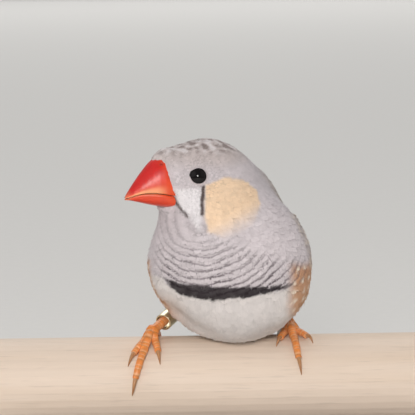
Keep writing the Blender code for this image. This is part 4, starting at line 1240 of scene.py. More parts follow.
def eyeball(name, place, material):
    """The eye: a ball with a slightly raised clear front, black pupil and very dark iris."""
    look = bpy.context.scene.finch_eye
    bm = bmesh.new()
    bmesh.ops.create_uvsphere(bm, u_segments=64, v_segments=40, radius=look.radius)
    mesh = bpy.data.meshes.new(name)
    hues = []
    for vert in bm.verts:
        reach = math.hypot(vert.co.x, vert.co.y) / MM
        front = vert.co.z > 0
        pupil = float(smooth(0.95, 1.05, reach)) if front else 1.0
        rim = float(smooth(1.45, 1.75, reach)) if front else 1.0
        iris = pupil * (1 - rim)
        hues.append(np.array((0.003, 0.002, 0.002)) * (1 - iris) + np.array(look.iris) * iris)
        if front:
            vert.co.z += 0.10 * MM * math.exp(-((reach / 1.2) ** 2))
    bm.transform(place)
    bm.to_mesh(mesh)
    bm.free()
    mesh.shade_smooth()
    paint(mesh, np.array(hues))
    return new_object(name, mesh, material)


def lids(name, place, material):
    """The ring of bare lid skin round the eye: two lids with a dark wet point at the front corner."""
    look = bpy.context.scene.finch_eye
    around, section = LID_AROUND, LID_SECTION
    points, hues = [], []
    radius = look.radius / MM
    pale, dark = np.array(look.lid), np.array(look.iris) * 0.5
    for i in range(around):
        turn = math.tau * i / around
        corner = math.exp(-((((turn + math.pi) % math.tau - math.pi) / 0.30) ** 2))
        inner = look.opening / MM - 0.05 * abs(math.sin(turn))
        wrinkle = 0.03 * math.sin(turn * 23) + 0.02 * math.sin(turn * 41 + 1)
        for k in range(section):
            swing = math.tau * k / section
            out = inner + LID_WIDTH / 2 * (1 - math.cos(swing)) + wrinkle * math.sin(swing / 2) ** 2
            ball = math.sqrt(max(radius * radius - min(out, radius * 0.97) ** 2, 0.01))
            bed = max(ball, LID_BED - out * out * LID_SLOPE)
            up = bed + LID_RISE + 0.13 * math.sin(swing) - 0.08 * (1 - math.cos(swing))
            points.append((out * math.cos(turn) * MM, out * math.sin(turn) * MM, up * MM))
            wet = float(smooth(0.1, -0.1, out - inner - 0.62 * corner - 0.03))
            hues.append(pale + (dark - pale) * wet)
    mesh = quad_mesh(name, placed(np.array(points), place), hoop_quads(around, section))
    face_outward(mesh)
    paint(mesh, np.array(hues))
    return new_object(name, mesh, material)


# Legs: places from the perch's axis in millimetres; each toe's end and its claw's tip are
# given as (place along the perch, degrees round it from the top to the front)


LEGS = {
    "right": {"foot": (-17.6, -2.5, 11.5), "ankle": (-11.5, 8.5, 14.6)},
    "left": {"foot": (12.0, 1.7, 11.7), "ankle": (9.5, 13.0, 16.3)},
}
TOES = {
    "right": {
        "2": ((-16.3, 40), (-15.9, 55)),
        "3": ((-21.2, 74), (-21.9, 94)),
        "4": ((-21.6, 42), (-22.7, 57)),
        "1": ((-16.5, -49), (-16.1, -69)),
    },
    "left": {
        "2": ((9.8, 19), (8.9, 31)),
        "3": ((13.5, 52), (14.0, 71)),
        "4": ((15.7, 15), (16.8, 26)),
        "1": ((11.4, -62), (11.2, -82)),
    },
}
TOE_SCUTES = {"1": 7, "2": 7, "3": 11, "4": 8}
TARSUS_SCUTES = 12
ROWS_PER_SCUTE = 8
LEG_SIDES = 18
PALM_RADIUS = 1.45 * MM
CLAW_RADIUS = 0.50 * MM
CLAW_END = 0.07 * MM
CLAW_HUMP = 0.5 * MM
TOE_CLEARANCE = 0.12 * MM


def leg_point(side, part):
    return PERCH_AXIS + Vector(LEGS[side][part]) * MM


def round_perch(place, degrees, height):
    turn = math.radians(degrees)
    reach = PERCH_RADIUS + height
    return PERCH_AXIS + Vector((place * MM, -reach * math.sin(turn), reach * math.cos(turn)))


def toe_path(side, toe):
    """The middle line of a toe, from inside the palm to its end, arched over the perch."""
    look = bpy.context.scene.finch_legs
    foot = leg_point(side, "foot") - PERCH_AXIS
    start_turn = math.degrees(math.atan2(-foot.y, foot.z))
    start_height = math.hypot(foot.y, foot.z) - PERCH_RADIUS
    (end_place, end_turn), _ = TOES[side][toe]

    def place(t):
        settle = min(1, t / 0.34)
        low = TOE_CLEARANCE + look.toe + (look.toe_end - look.toe) * t
        arch = 0.35 * MM * max(0, math.sin(math.pi * t * 2.5)) * (t < 0.8)
        height = start_height + (low - start_height) * settle * settle * (3 - 2 * settle)
        spread = t**0.8
        return round_perch(
            foot.x / MM + (end_place - foot.x / MM) * spread,
            start_turn + (end_turn - start_turn) * t,
            height + arch,
        )

    return place


class Tubes:
    """Collects round forms swept along lines, with scutes in their profile, into one mesh."""

    def __init__(self):
        self.points, self.faces, self.colours, self.uvs = [], [], [], []

    def sweep(self, points, radii, hues, sides, up, flat=1.0):
        """A closed form through points; up keeps its section upright, flat squashes it from above."""
        start = len(self.points)
        last = len(points) - 1
        for i, (point, radius) in enumerate(zip(points, radii)):
            lead = (points[min(i + 1, last)] - points[max(i - 1, 0)]).normalized()
            across = lead.cross(up(point)).normalized()
            rise = across.cross(lead)
            for k in range(sides):
                turn = math.tau * k / sides
                reach, hue = radius(turn), hues(i / last, turn)
                self.points.append(point + (across * math.cos(turn) + rise * math.sin(turn) * flat) * reach)
                self.colours.append(hue)
                self.uvs.append((k / sides, i / last))
        for i in range(last):
            for k in range(sides):
                a, b = start + i * sides + k, start + i * sides + (k + 1) % sides
                self.faces.append((a, b, b + sides, a + sides))
        self.faces.append([start + k for k in range(sides)][::-1])
        self.faces.append([start + last * sides + k for k in range(sides)])

    def finish(self, name, material):
        mesh = bpy.data.meshes.new(name)
        mesh.from_pydata([tuple(p) for p in self.points], [], self.faces)
        face_outward(mesh)
        paint(mesh, np.array(self.colours))
        map_points(mesh, "Along", np.array(self.uvs))
        return new_object(name, mesh, material)


def scute_place(t, scutes):
    """How far along its own scale a place is; the scales differ a little in length."""
    return (t * scutes + 0.22 * math.sin(t * scutes * 2.4 + scutes)) % 1.0


def scute_profile(t, scutes):
    """0 in the groove between two scales and 1 on the scale, which overlaps the next one."""
    inside = scute_place(t, scutes)
    if inside < 0.93:
        return min(1.0, inside / 0.22) ** 0.7 * (1 - 0.25 * inside)
    return 0.45 * (1 - inside) / 0.07


def away_from_perch(point):
    return Vector((0, point.y - PERCH_AXIS.y, point.z - PERCH_AXIS.z)).normalized()


def scaly(radius, raised, scutes, pads, look):
    """Radius and colour of a scaly toe or leg: scales above, soft pads below."""

    def size(t):
        def at(turn):
            above = 0.5 + 0.5 * math.sin(turn)
            scale = raised * scute_profile(t, scutes) * above
            pad = 0.10 * MM * (1 - above) * max(0.0, math.sin(math.pi * t * pads)) ** 2
            return radius(t) + scale + pad

        return at

    def hue(t, turn):
        above = 0.5 + 0.5 * math.sin(turn)
        # Painted shade: the grooves between the scales are painted up to 40% darker on the upper side.
        groove = 1 - scute_profile(t, scutes)
        # Painted highlight: each scale's rim on the upper side is paled towards the pale colour; the paler
        # underside is the soles' own colour.
        rim = math.exp(-(((scute_place(t, scutes) - 0.84) / 0.12) ** 2)) * above
        base = np.array(look.scale) * (1 + 0.12 * math.sin(t * 23 + turn * 2) * math.sin(t * 9 + turn))
        shade = base * (1 - 0.4 * groove * above)
        pale = np.array(look.scale_pale_and_highlight)
        return shade + (pale - shade) * min(1.0, 0.42 * rim + 0.35 * (1 - above))

    return size, hue


def toe(tubes, side, name):
    look = bpy.context.scene.finch_legs
    path = toe_path(side, name)
    scutes = TOE_SCUTES[name]
    size, hue = scaly(
        lambda t: look.toe + (look.toe_end - look.toe) * t, 0.11 * MM, scutes, 3 + int(name), look
    )
    rows = scutes * ROWS_PER_SCUTE
    places = [i / rows for i in range(rows + 1)]
    ends = [1.0 - 0.75 * max(0.0, (t - 0.965) / 0.035) ** 2 for t in places]
    tubes.sweep(
        [path(t) for t in places],
        [lambda turn, t=t, end=end: size(t)(turn) * end for t, end in zip(places, ends)],
        hue,
        sides=LEG_SIDES,
        up=away_from_perch,
        flat=0.92,
    )


def claw(tubes, side, name):
    """A thin curved claw that follows the perch, deep at its root and pointed."""
    look = bpy.context.scene.finch_legs
    _, (tip_place, tip_turn) = TOES[side][name]
    path = toe_path(side, name)
    start = path(0.975) - PERCH_AXIS
    start_turn = math.degrees(math.atan2(-start.y, start.z))
    start_height = math.hypot(start.y, start.z) - PERCH_RADIUS
    points, radii = [], []
    rows = 26
    for step in range(rows + 1):
        t = step / rows
        radius = CLAW_RADIUS + (CLAW_END - CLAW_RADIUS) * t**1.15
        floor = TOE_CLEARANCE + radius
        hump = CLAW_HUMP * math.sin(math.pi * t) ** 0.9
        place = start.x / MM + (tip_place - start.x / MM) * t
        turn = start_turn + (tip_turn - start_turn) * t
        points.append(round_perch(place, turn, start_height + (floor - start_height) * t + hump))
        radii.append(lambda turn, r=radius: r * (1 + 0.18 * math.sin(turn)))

    def hue(t, turn):
        base = np.array(look.claw)
        pale = np.array(look.scale_pale_and_highlight)
        return base + (pale - base) * 0.55 * (1 - t) ** 2 * (0.6 - 0.4 * math.sin(turn))

    tubes.sweep(points, radii, hue, sides=14, up=away_from_perch)


def lower_leg(tubes, side):
    look = bpy.context.scene.finch_legs
    foot, ankle = leg_point(side, "foot"), leg_point(side, "ankle")
    size, hue = scaly(lambda t: look.tarsus, 0.12 * MM, TARSUS_SCUTES, 0, look)
    rows = TARSUS_SCUTES * ROWS_PER_SCUTE
    places = [i / rows for i in range(rows + 1)]
    front = Vector((0, -0.6, 0.8))
    tubes.sweep(
        [foot.lerp(ankle, 0.04 + 0.96 * t) for t in places],
        [lambda turn, t=t: size(1 - t)(turn) for t in places],
        lambda t, turn: hue(1 - t, turn),
        sides=LEG_SIDES,
        up=lambda point: front,
        flat=0.95,
    )


def palm(tubes, side):
    """The rounded foot pad where the toes meet."""
    look = bpy.context.scene.finch_legs
    centre = leg_point(side, "foot")
    lead = (leg_point(side, "ankle") - centre).normalized()
    rows = 14
    points, radii = [], []
    for i in range(rows + 1):
        swing = -math.pi / 2 + math.pi * i / rows
        points.append(centre + lead * PALM_RADIUS * 0.95 * math.sin(swing) * 0.98)
        reach = PALM_RADIUS * max(math.cos(swing), 0.05)
        radii.append(lambda turn, r=reach: r * (1 + 0.035 * math.sin(turn * 7)))

    def hue(t, turn):
        grain = 0.5 + 0.5 * math.sin(turn * 7) * math.sin(t * 20)
        return np.array(look.scale) * (0.86 + 0.2 * grain)

    tubes.sweep(points, radii, hue, sides=24, up=away_from_perch)


# Outer and inner radius of the leg ring, half its height and the rounding of its rims, in millimetres
RING_SIZES = (1.85, 1.5, 1.8, 0.14)


def leg_ring_form(material):
    """The closed ring on the right lower leg, with rounded rims."""
    foot, ankle = leg_point("right", "foot"), leg_point("right", "ankle")
    lead = (ankle - foot).normalized()
    centre = foot.lerp(ankle, 0.5) - Vector((0, 0, 0.2 * MM))
    outer, inner, half, edge = (size * MM for size in RING_SIZES)
    profile = []
    corners = ((outer, half), (inner, half), (inner, -half), (outer, -half))
    for corner, start in zip(corners, (0, 90, 180, 270)):
        mid_r = corner[0] + (edge if corner[0] == inner else -edge)
        mid_z = corner[1] + (-edge if corner[1] > 0 else edge)
        for k in range(5):
            swing = math.radians(start + 22.5 * k)
            profile.append((mid_r + edge * math.cos(swing), mid_z + edge * math.sin(swing)))
    turn = Matrix.Translation(centre) @ lead.to_track_quat("Z", "Y").to_matrix().to_4x4()
    around = 72
    points = []
    for i in range(around):
        angle = math.tau * i / around
        for radius, height in profile:
            points.append(turn @ Vector((radius * math.cos(angle), radius * math.sin(angle), height)))
    quads = hoop_quads(around, len(profile))[:, [0, 3, 2, 1]]
    mesh = quad_mesh("leg_ring_sleeve", np.array(points), quads)
    look = bpy.context.scene.finch_legs
    dyed, rim_highlight = np.array(look.ring), np.array(look.ring_rim_highlight)
    # Painted highlight: the rounded rims are painted pale gold, shading into the dark dyed sleeve.
    ends = [float(smooth(half - 2.2 * edge, half - 0.9 * edge, abs(height))) for _, height in profile]
    paint(mesh, np.array([dyed + (rim_highlight - dyed) * end for _ in range(around) for end in ends]))
    return new_object("leg_ring_sleeve", mesh, material)


# Materials


def add_node(tree, kind, settings=None, links=None, stops=(), **sockets):
    """Adds a node: settings are its attributes, sockets its values, links its inputs by name.

    stops are the (place, colour) pairs of a colour ramp.
    """
    made = tree.nodes.new(kind)
    for key, value in (settings or {}).items():
        setattr(made, key, value)
    for key, value in sockets.items():
        made.inputs[key.replace("_", " ")].default_value = value
    for key, source in (links or {}).items():
        tree.links.new(source, made.inputs[key])
    for index, (place, colour) in enumerate(stops):
        elements = made.color_ramp.elements
        element = elements[index] if index < 2 else elements.new(place)
        element.position, element.color = place, (*colour, 1)
    return made


def surface(name, roughness, **sockets):
    """A new material with its shader, whose sockets are set from names with underscores for blanks."""
    material = bpy.data.materials.new(name)
    material.use_nodes = True
    shader = material.node_tree.nodes["Principled BSDF"]
    shader.inputs["Roughness"].default_value = roughness
    for key, value in sockets.items():
        shader.inputs[key.replace("_", " ")].default_value = value
    return material, material.node_tree, shader


def painted(tree):
    """The colours painted on the mesh's points."""
    return add_node(tree, "ShaderNodeVertexColor", {"layer_name": "Plumage"}).outputs["Color"]


def own_place(tree, scale=None):
    """Places in the object's own frame, in metres, stretched by a scale when one is given."""
    place = add_node(tree, "ShaderNodeTexCoord").outputs["Object"]
    if scale is None:
        return place
    stretched = add_node(tree, "ShaderNodeMapping", links={"Vector": place})
    stretched.inputs["Scale"].default_value = scale
    return stretched.outputs["Vector"]


def noise_over(tree, place, scale, detail, **sockets):
    made = add_node(
        tree, "ShaderNodeTexNoise", links={"Vector": place}, Scale=scale, Detail=detail, **sockets
    )
    return made.outputs["Fac"]


def cells_over(tree, place, scale):
    """Small irregular cells: 0 at the middle of each, growing to its rim."""
    return add_node(tree, "ShaderNodeTexVoronoi", links={"Vector": place}, Scale=scale).outputs["Distance"]


def bands_over(tree, place, scale, distortion, **sockets):
    settings = {"wave_type": "BANDS", "bands_direction": "X"}
    made = add_node(
        tree, "ShaderNodeTexWave", settings, {"Vector": place},
        Scale=scale, Distortion=distortion, Detail=2.0, **sockets,
    )
    return made.outputs["Fac"]


def ranged(tree, value, low, high, **sockets):
    """A value from 0 to 1 turned into one from low to high."""
    made = add_node(tree, "ShaderNodeMapRange", links={"Value": value}, To_Min=low, To_Max=high, **sockets)
    return made.outputs[0]


def worked(tree, operation, *values):
    return add_node(tree, "ShaderNodeMath", {"operation": operation}, dict(enumerate(values)))


def ramp(tree, value, *stops):
    return add_node(tree, "ShaderNodeValToRGB", links={"Fac": value}, stops=stops).outputs["Color"]


def shaded(tree, shader, colour, shade):
    """Gives the shader a colour made lighter and darker by a value."""
    hue = add_node(tree, "ShaderNodeVectorMath", {"operation": "SCALE"}, {0: colour, "Scale": shade})
    tree.links.new(hue.outputs["Vector"], shader.inputs["Base Color"])


def embossed(tree, shader, height, strength, depth):
    """Gives the shader a fine relief: depth in metres."""
    bump = add_node(tree, "ShaderNodeBump", links={"Height": height}, Strength=strength, Distance=depth)
    tree.links.new(bump.outputs["Normal"], shader.inputs["Normal"])
    return bump


BARB_SLANT = -0.45


def feather_material(name, barb_pitch, depth, strength, roughness=0.78):
    """Keratin barbs lying side by side: a soft matt face with very fine slanting streaks.

    The real barbs are 0.1 to 0.2 mm apart, so barb_pitch draws them as coarse as they need to show.
    """
    material, tree, shader = surface(
        name, roughness, IOR=1.45, Specular_IOR_Level=0.25, Sheen_Weight=0.04, Sheen_Roughness=0.5
    )
    barbs = add_node(tree, "ShaderNodeUVMap", {"uv_map": "Barbs"}).outputs["UV"]
    parts = add_node(tree, "ShaderNodeSeparateXYZ", links={"Vector": barbs}).outputs
    slant = worked(tree, "MULTIPLY", worked(tree, "ABSOLUTE", parts["X"]).outputs[0])
    slant.inputs[1].default_value = BARB_SLANT
    level = worked(tree, "ADD", parts["Y"], slant.outputs[0]).outputs[0]
    turned = add_node(tree, "ShaderNodeCombineXYZ", links={"X": level, "Y": parts["X"]}).outputs["Vector"]
    streaks = bands_over(tree, turned, barb_pitch, 2.2, Detail_Scale=1.6)
    shade = ranged(tree, streaks, 1 - depth, 1 + depth * 0.4)
    dapple = ranged(tree, noise_over(tree, own_place(tree), 900.0, 3.0), 0.93, 1.07)
    shaded(tree, shader, painted(tree), worked(tree, "MULTIPLY", shade, dapple).outputs[0])
    embossed(tree, shader, streaks, strength, 0.00004)
    return material


def skin_material():
    """Bird skin and down beneath the coat: matt, the coat's colours over it, painted a little darker as shade
    in the gaps.
    """
    material, tree, shader = surface("down_and_skin", 0.9, IOR=1.4, Specular_IOR_Level=0.2)
    down = noise_over(tree, own_place(tree), 2600.0, 4.0)
    shaded(tree, shader, painted(tree), ranged(tree, down, 0.72, 1.0))
    embossed(tree, shader, down, 0.5, 0.0002)
    return material


def horn_material():
    """Waxy bill horn, grown in layers: glossy and a little see-through, with faint growth lines."""
    material, tree, shader = surface(
        "bill_horn", 0.4, IOR=1.5, Subsurface_Weight=0.12, Subsurface_Scale=0.0006,
        Coat_Weight=0.12, Coat_Roughness=0.25,
    )
    shader.inputs["Subsurface Radius"].default_value = (1.0, 0.25, 0.1)
    place = own_place(tree)
    clouded = noise_over(tree, place, 420.0, 4.0)
    shaded(tree, shader, painted(tree), ranged(tree, clouded, 0.84, 1.14))
    embossed(tree, shader, bands_over(tree, place, 240.0, 3.0), 0.16, 0.0001)
    tree.links.new(ranged(tree, clouded, 0.32, 0.5), shader.inputs["Roughness"])
    return material


def eye_material():
    """Wet eye: a clear smooth front over black and very dark brown."""
    material, tree, shader = surface("wet_eye", 0.04, IOR=1.35)
    fibres = noise_over(tree, own_place(tree), 2200.0, 3.0)
    shaded(tree, shader, painted(tree), ranged(tree, fibres, 0.7, 1.3))
    return material


def lid_material():
    """Bare lid skin: fine grey wrinkles, slightly moist."""
    material, tree, shader = surface("lid_skin", 0.5, IOR=1.4)
    wrinkles = cells_over(tree, own_place(tree), 4200.0)
    # Painted shade: the colour darkens towards each cell's rim, in the grooves of the wrinkles.
    shaded(tree, shader, painted(tree), ranged(tree, wrinkles, 1.0, 0.7))
    embossed(tree, shader, wrinkles, 0.5, 0.00005).invert = True
    return material


def leg_material(name, roughness, cell, strength):
    """Scaly leg skin or claw horn: keratin plates, satin, with a fine pebbled grain between them."""
    material, tree, shader = surface(name, roughness, IOR=1.5, Subsurface_Weight=0.1, Subsurface_Scale=0.0005)
    shader.inputs["Subsurface Radius"].default_value = (1.0, 0.35, 0.15)
    place = own_place(tree)
    shaded(tree, shader, painted(tree), ranged(tree, noise_over(tree, place, 700.0, 3.0), 0.8, 1.18))
    embossed(tree, shader, cells_over(tree, place, cell), strength, 0.00006)
    return material


def ring_material():
    """Anodised aluminium: dark dyed metal with a satin face, and a pale metal colour painted on the rims as a
    painted highlight.
    """
    material, tree, shader = surface("anodised_aluminium", 0.32, Metallic=1.0)
    tree.links.new(painted(tree), shader.inputs["Base Color"])
    scratches = noise_over(tree, own_place(tree), 3000.0, 4.0)
    tree.links.new(ranged(tree, scratches, 0.2, 0.45), shader.inputs["Roughness"])
    return material


def perch_material():
    """Turned and sanded beech dowel: pale, matt, long fine grain with short darker flecks."""
    look = bpy.context.scene.finch_stand
    material, tree, shader = surface("sanded_beech", 0.62, IOR=1.5)
    place = own_place(tree, (0.05, 1, 1))
    grain = noise_over(tree, place, 900.0, 6.0, Roughness=0.6)
    broad = noise_over(tree, place, 160.0, 3.0)
    flecks = noise_over(tree, place, 2600.0, 2.0)
    base = ramp(tree, broad, (0.3, tuple(look.grain)), (0.5, tuple(look.wood)))
    fine = ranged(tree, grain, 0.93, 1.05)
    fleck = ranged(tree, flecks, 0.9, 1.0, From_Min=0.26, From_Max=0.42)
    shaded(tree, shader, base, worked(tree, "MULTIPLY", fine, fleck).outputs[0])
    embossed(tree, shader, grain, 0.25, 0.0001)
    return material


def base_material():
    """Oiled walnut board: dark brown, satin, with wavy grain about 2 mm wide along its length."""
    look = bpy.context.scene.finch_stand
    material, tree, shader = surface("oiled_walnut", 0.42, IOR=1.5)
    grain = noise_over(tree, own_place(tree, (0.12, 1, 1)), 420.0, 8.0, Distortion=0.6)
    dark = tuple(0.5 * value for value in look.board)
    pale = tuple(min(1.0, 1.7 * value) for value in look.board)
    hue = ramp(tree, grain, (0.3, dark), (0.52, tuple(look.board)), (0.75, pale))
    tree.links.new(hue, shader.inputs["Base Color"])
    embossed(tree, shader, grain, 0.2, 0.0001)
    return material


def steel_material():
    """Drawn stainless steel rod: satin, with fine lines round it."""
    material, tree, shader = surface("drawn_steel", 0.3, Metallic=1.0)
    lines = noise_over(tree, own_place(tree, (1, 1, 8)), 900.0, 4.0)
    hue = ramp(tree, lines, (0.3, linear("#9C9A98")), (0.7, linear("#C4C2BF")))
    tree.links.new(hue, shader.inputs["Base Color"])
    tree.links.new(ranged(tree, lines, 0.22, 0.42), shader.inputs["Roughness"])
    return material


def floor_material():
    """Plain matt studio paper."""
    pale = tuple(bpy.context.scene.finch_stand.floor)
    material, tree, shader = surface("studio_paper", 0.9)
    fibres = noise_over(tree, own_place(tree), 300.0, 2.0)
    hue = ramp(tree, fibres, (0.3, tuple(0.985 * value for value in pale)), (0.7, pale))
    tree.links.new(hue, shader.inputs["Base Color"])
    return material


def keep_node(node, material):
    """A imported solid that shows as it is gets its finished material."""
    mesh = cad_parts[node].data
    mesh.materials.clear()
    mesh.materials.append(material)


def stands_for(obj, slot, *nodes):
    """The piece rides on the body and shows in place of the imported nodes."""
    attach(obj, BODY_NAME)
    if nodes:
        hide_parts(*nodes)


# Operators


class FINCH_OT_skin(bpy.types.Operator):
    """Builds one skin over head, neck, body and thighs, with the plumage's markings"""

    bl_idname = "finch.skin"
    bl_label = "Skin"

    def execute(self, context):
        skin = skin_form()
        points, _ = mesh_arrays(skin.data)
        # Painted shade: the skin takes the coat's colours 6% darker, where it shows in the gaps under the
        # feathers.
        paint(skin.data, plumage(points) * 0.94)
        map_points(skin.data, "OFBake", unwrap(points))
        skin.data.shade_smooth()
        skin.data.materials.clear()
        skin.data.materials.append(skin_material())
        stands_for(skin, "plumage_body", *FLESH_NODES)
        return {"FINISHED"}


class FINCH_OT_coat(bpy.types.Operator):
    """Covers the skin with small overlapping feathers that follow the lie of the coat"""

    bl_idname = "finch.coat"
    bl_label = "Body feathers"

    def execute(self, context):
        sizes = context.scene.finch_coat
        skin = Skin(bpy.data.objects["skin"])
        coat = Coat(skin, eye_places())
        material = feather_material("contour_feathers", 7.0, 0.10, 0.35)
        regions = coat.region()
        depth = coat_depth(coat.roots)
        for name in sorted(set(regions)):
            chosen = np.flatnonzero(regions == name)
            small = name in ("coat_face", "coat_cheeks", "coat_crown")
            lift = depth * (0.75 if small else 0.85)
            piece = grow(
                coat, chosen, name, material, stations=8, fringe=0.22, width=coat.width[chosen], lift=lift
            )
            stands_for(piece, "plumage_head" if name in HEAD_PIECES else "plumage_body")
        self.wisps(coat, sizes, depth, material)
        return {"FINISHED"}

    def wisps(self, coat, sizes, depth, material):
        """Fine loose barbs over the feathers, which soften the outline."""
        count = min(sizes.wisps, len(coat.roots))
        chosen = coat.draw.choice(len(coat.roots), count, replace=False)
        reach = coat.length[chosen] * coat.draw.uniform(0.75, 1.1, count)
        loose = depth * coat.draw.uniform(0.9, 1.35, len(depth))
        piece = grow(
            coat, chosen, "coat_wisps", material, stations=3, fringe=0.0, width=0.03, lift=loose, reach=reach
        )
        stands_for(piece, "plumage_body")


HEAD_PIECES = ("coat_face", "coat_cheeks", "coat_crown", "coat_nape")


class FINCH_OT_wings(bpy.types.Operator):
    """Lays both folded wings on the body: flight feathers in tiers under rows of coverts"""

    bl_idname = "finch.wings"
    bl_label = "Wings"

    def execute(self, context):
        look = context.scene.finch_wings
        tree = Skin(bpy.data.objects["skin"]).tree
        material = feather_material("flight_feathers", 16.0, 0.12, 0.4, 0.6)
        for side, sign in (("left", 1), ("right", -1)):
            sheet = WingSheet(sign, tree)
            feathers = Feathers(SEED, 9)
            wing_arm(sheet, feathers, look.vane)
            for tier, sizes in WING_TIERS.items():
                self.tier(sheet, feathers, tier, sizes, look)
            piece = feathers.finish(f"wing_{side}_feathers", material)
            stands_for(piece, "flight_feathers", "wing_" + side)
        return {"FINISHED"}

    def tier(self, sheet, feathers, tier, sizes, look):
        count, root, root_step, tip, tip_step, half, height, height_step, stations = sizes
        hues = self.tier_hues(tier, look)
        dip = SCAPULAR_DIP if "scapulars" in tier else 0.0
        for index in range(count):
            loose = Vector(feathers.draw.uniform(-1, 1, 2)) * 0.12
            start = (Vector(root) + Vector(root_step) * index) * MM
            end = (Vector(tip) + Vector(tip_step) * index + loose) * MM
            level = (height + height_step * index) * MM
            feathers.vane(
                sheet.at, start, end, half * MM, level, stations, hues, thick=look.thickness, dip=dip
            )

    def tier_hues(self, tier, look):
        """Colours of a tier's vanes, shafts and edges; the small feathers are nearer to the fawn back's."""
        vane, shaft, edge = np.array(look.vane), np.array(look.shaft), np.array(look.edge)
        back = np.array(bpy.context.scene.finch_plumage.back)
        if "scapulars" in tier:
            return back, back * 0.9, back + (edge - back) * 0.25
        if "lesser" in tier or "median" in tier:
            hue = vane + (back - vane) * 0.75
            return hue, hue * 0.7, hue + (edge - hue) * 0.45
        hue = vane * 0.82 if tier == "primaries" else vane
        return hue, shaft, hue + (edge - hue) * 0.8


TAIL_LENGTH = 39
TAIL_PAIRS = 6
TAIL_STEP = 0.95
TAIL_BEND = 18 * MM
RECTRIX_HALF = 2.6
TAIL_ROWS = (
    # first root along, its height and step, half width, (across, reach) of each covert, banded or not
    (
        3.0, 0.75, 0.05, 1.7,
        ((0.6, 18.5), (-0.7, 18.2), (1.9, 16.8), (-1.9, 16.4), (3.1, 14.2), (-3.1, 13.8)), True,
    ),
    (
        2.0, 1.15, 0.05, 1.7,
        ((0, 14.5), (1.4, 13.2), (-1.4, 12.9), (2.8, 11.4), (-2.8, 11.0), (4.0, 9.6), (-4.0, 9.2)), True,
    ),
    (
        0.5, 1.55, 0.05, 1.6,
        ((0.7, 10.8), (-0.7, 10.5), (2.1, 9.6), (-2.1, 9.2), (3.4, 8.0), (-3.4, 7.6)), True,
    ),
    (3.5, -3.2, -0.06, 2.0, ((0, 19.0), (1.5, 17.2), (-1.5, 16.8), (2.9, 14.6), (-2.9, 14.2)), False),
    (1.5, -3.7, -0.06, 2.0, ((0.8, 14.0), (-0.8, 13.6), (2.4, 12.0), (-2.4, 11.6)), False),
    (0.0, -4.1, -0.06, 2.0, ((0, 10.5), (1.7, 9.6), (-1.7, 9.2)), False),
)


class FINCH_OT_tail(bpy.types.Operator):
    """Lays the twelve tail feathers as a closed fan, with banded coverts above and pale ones below"""

    bl_idname = "finch.tail"
    bl_label = "Tail"

    def execute(self, context):
        look = context.scene.finch_tail

        def place(along, across, height):
            return TAIL @ Vector((across, along, height - across * across / TAIL_BEND))

        def bands(t):
            dark, pale = np.array(look.band_dark), np.array(look.band_pale)
            return dark + (pale - dark) * float(smooth(0.35, 0.6, abs((t * 3.2 + 0.1) % 1.0 - 0.5) * 2))

        feathers = Feathers(SEED + 1, 8)
        vane, edge = np.array(look.vane), np.array(look.edge)
        for pair in range(TAIL_PAIRS):
            for order, sign in enumerate((1, -1)):
                root = Vector((4.5, sign * (0.4 + 0.4 * pair))) * MM
                reach = TAIL_LENGTH - 0.09 * pair * pair - feathers.draw.uniform(0, 0.5)
                end = Vector((reach, sign * (0.4 + TAIL_STEP * pair))) * MM
                level = -0.19 * (2 * pair + order) * MM + 0.2 * MM
                hues = (vane, vane * 0.6, edge)
                feathers.vane(place, root, end, RECTRIX_HALF * MM, level, 30, hues, blunt=0.4, edge=0.1)
        for start, height, step, half, coverts, banded in TAIL_ROWS:
            for index, (across, reach) in enumerate(coverts):
                root = Vector((start, across)) * MM
                end = Vector((reach, across * 1.08)) * MM
                hue = np.array(look.under)
                hues = (hue, hue * 0.85, hue)
                level = (height + step * index) * MM
                feathers.vane(
                    place, root, end, half * MM, level, 22, hues, edge=0.02, bands=bands if banded else None
                )
        piece = feathers.finish("tail_feathers", feather_material("tail_vanes", 22.0, 0.12, 0.4, 0.6))
        stands_for(piece, "flight_feathers", "tail")
        return {"FINISHED"}


class FINCH_OT_bill(bpy.types.Operator):
    """Shapes both halves of the bill, parted along the mouth, with nostrils"""

    bl_idname = "finch.bill"
    bl_label = "Bill"

    def execute(self, context):
        material = horn_material()
        stands_for(bill_half("upper_bill", False, material), "bill_horn", "bill_upper")
        stands_for(bill_half("lower_bill", True, material), "bill_horn", "bill_lower")
        return {"FINISHED"}


class FINCH_OT_eyes(bpy.types.Operator):
    """Sets the eyeballs in their lids"""

    bl_idname = "finch.eyes"
    bl_label = "Eyes and lids"

    def execute(self, context):
        wet, bare = eye_material(), lid_material()
        for side, place in zip(("left", "right"), eye_places()):
            stands_for(eyeball(f"eyeball_{side}", place, wet), "eye", "eye_" + side)
            stands_for(lids(f"lids_{side}", place, bare), "plumage_head")
        return {"FINISHED"}


class FINCH_OT_legs(bpy.types.Operator):
    """Builds the scaly lower legs and toes, their claws and the leg ring"""

    bl_idname = "finch.legs"
    bl_label = "Legs and ring"

    def execute(self, context):
        scales = leg_material("leg_scales", 0.42, 3200.0, 0.4)
        horn = leg_material("claw_horn", 0.35, 5200.0, 0.1)
        for side in LEGS:
            skin, claws = Tubes(), Tubes()
            lower_leg(skin, side)
            palm(skin, side)
            for name in TOES[side]:
                toe(skin, side, name)
                claw(claws, side, name)
            foot = skin.finish(f"foot_skin_{side}", scales)
            stands_for(foot, "leg_scales", "foot_" + side, "tarsus_" + side)
            nodes = [f"claw_{side}_{name}" for name in TOES[side]]
            stands_for(claws.finish(f"claws_{side}", horn), "claw_horn", *nodes)
        stands_for(leg_ring_form(ring_material()), "ring_metal", "leg_ring")
        return {"FINISHED"}


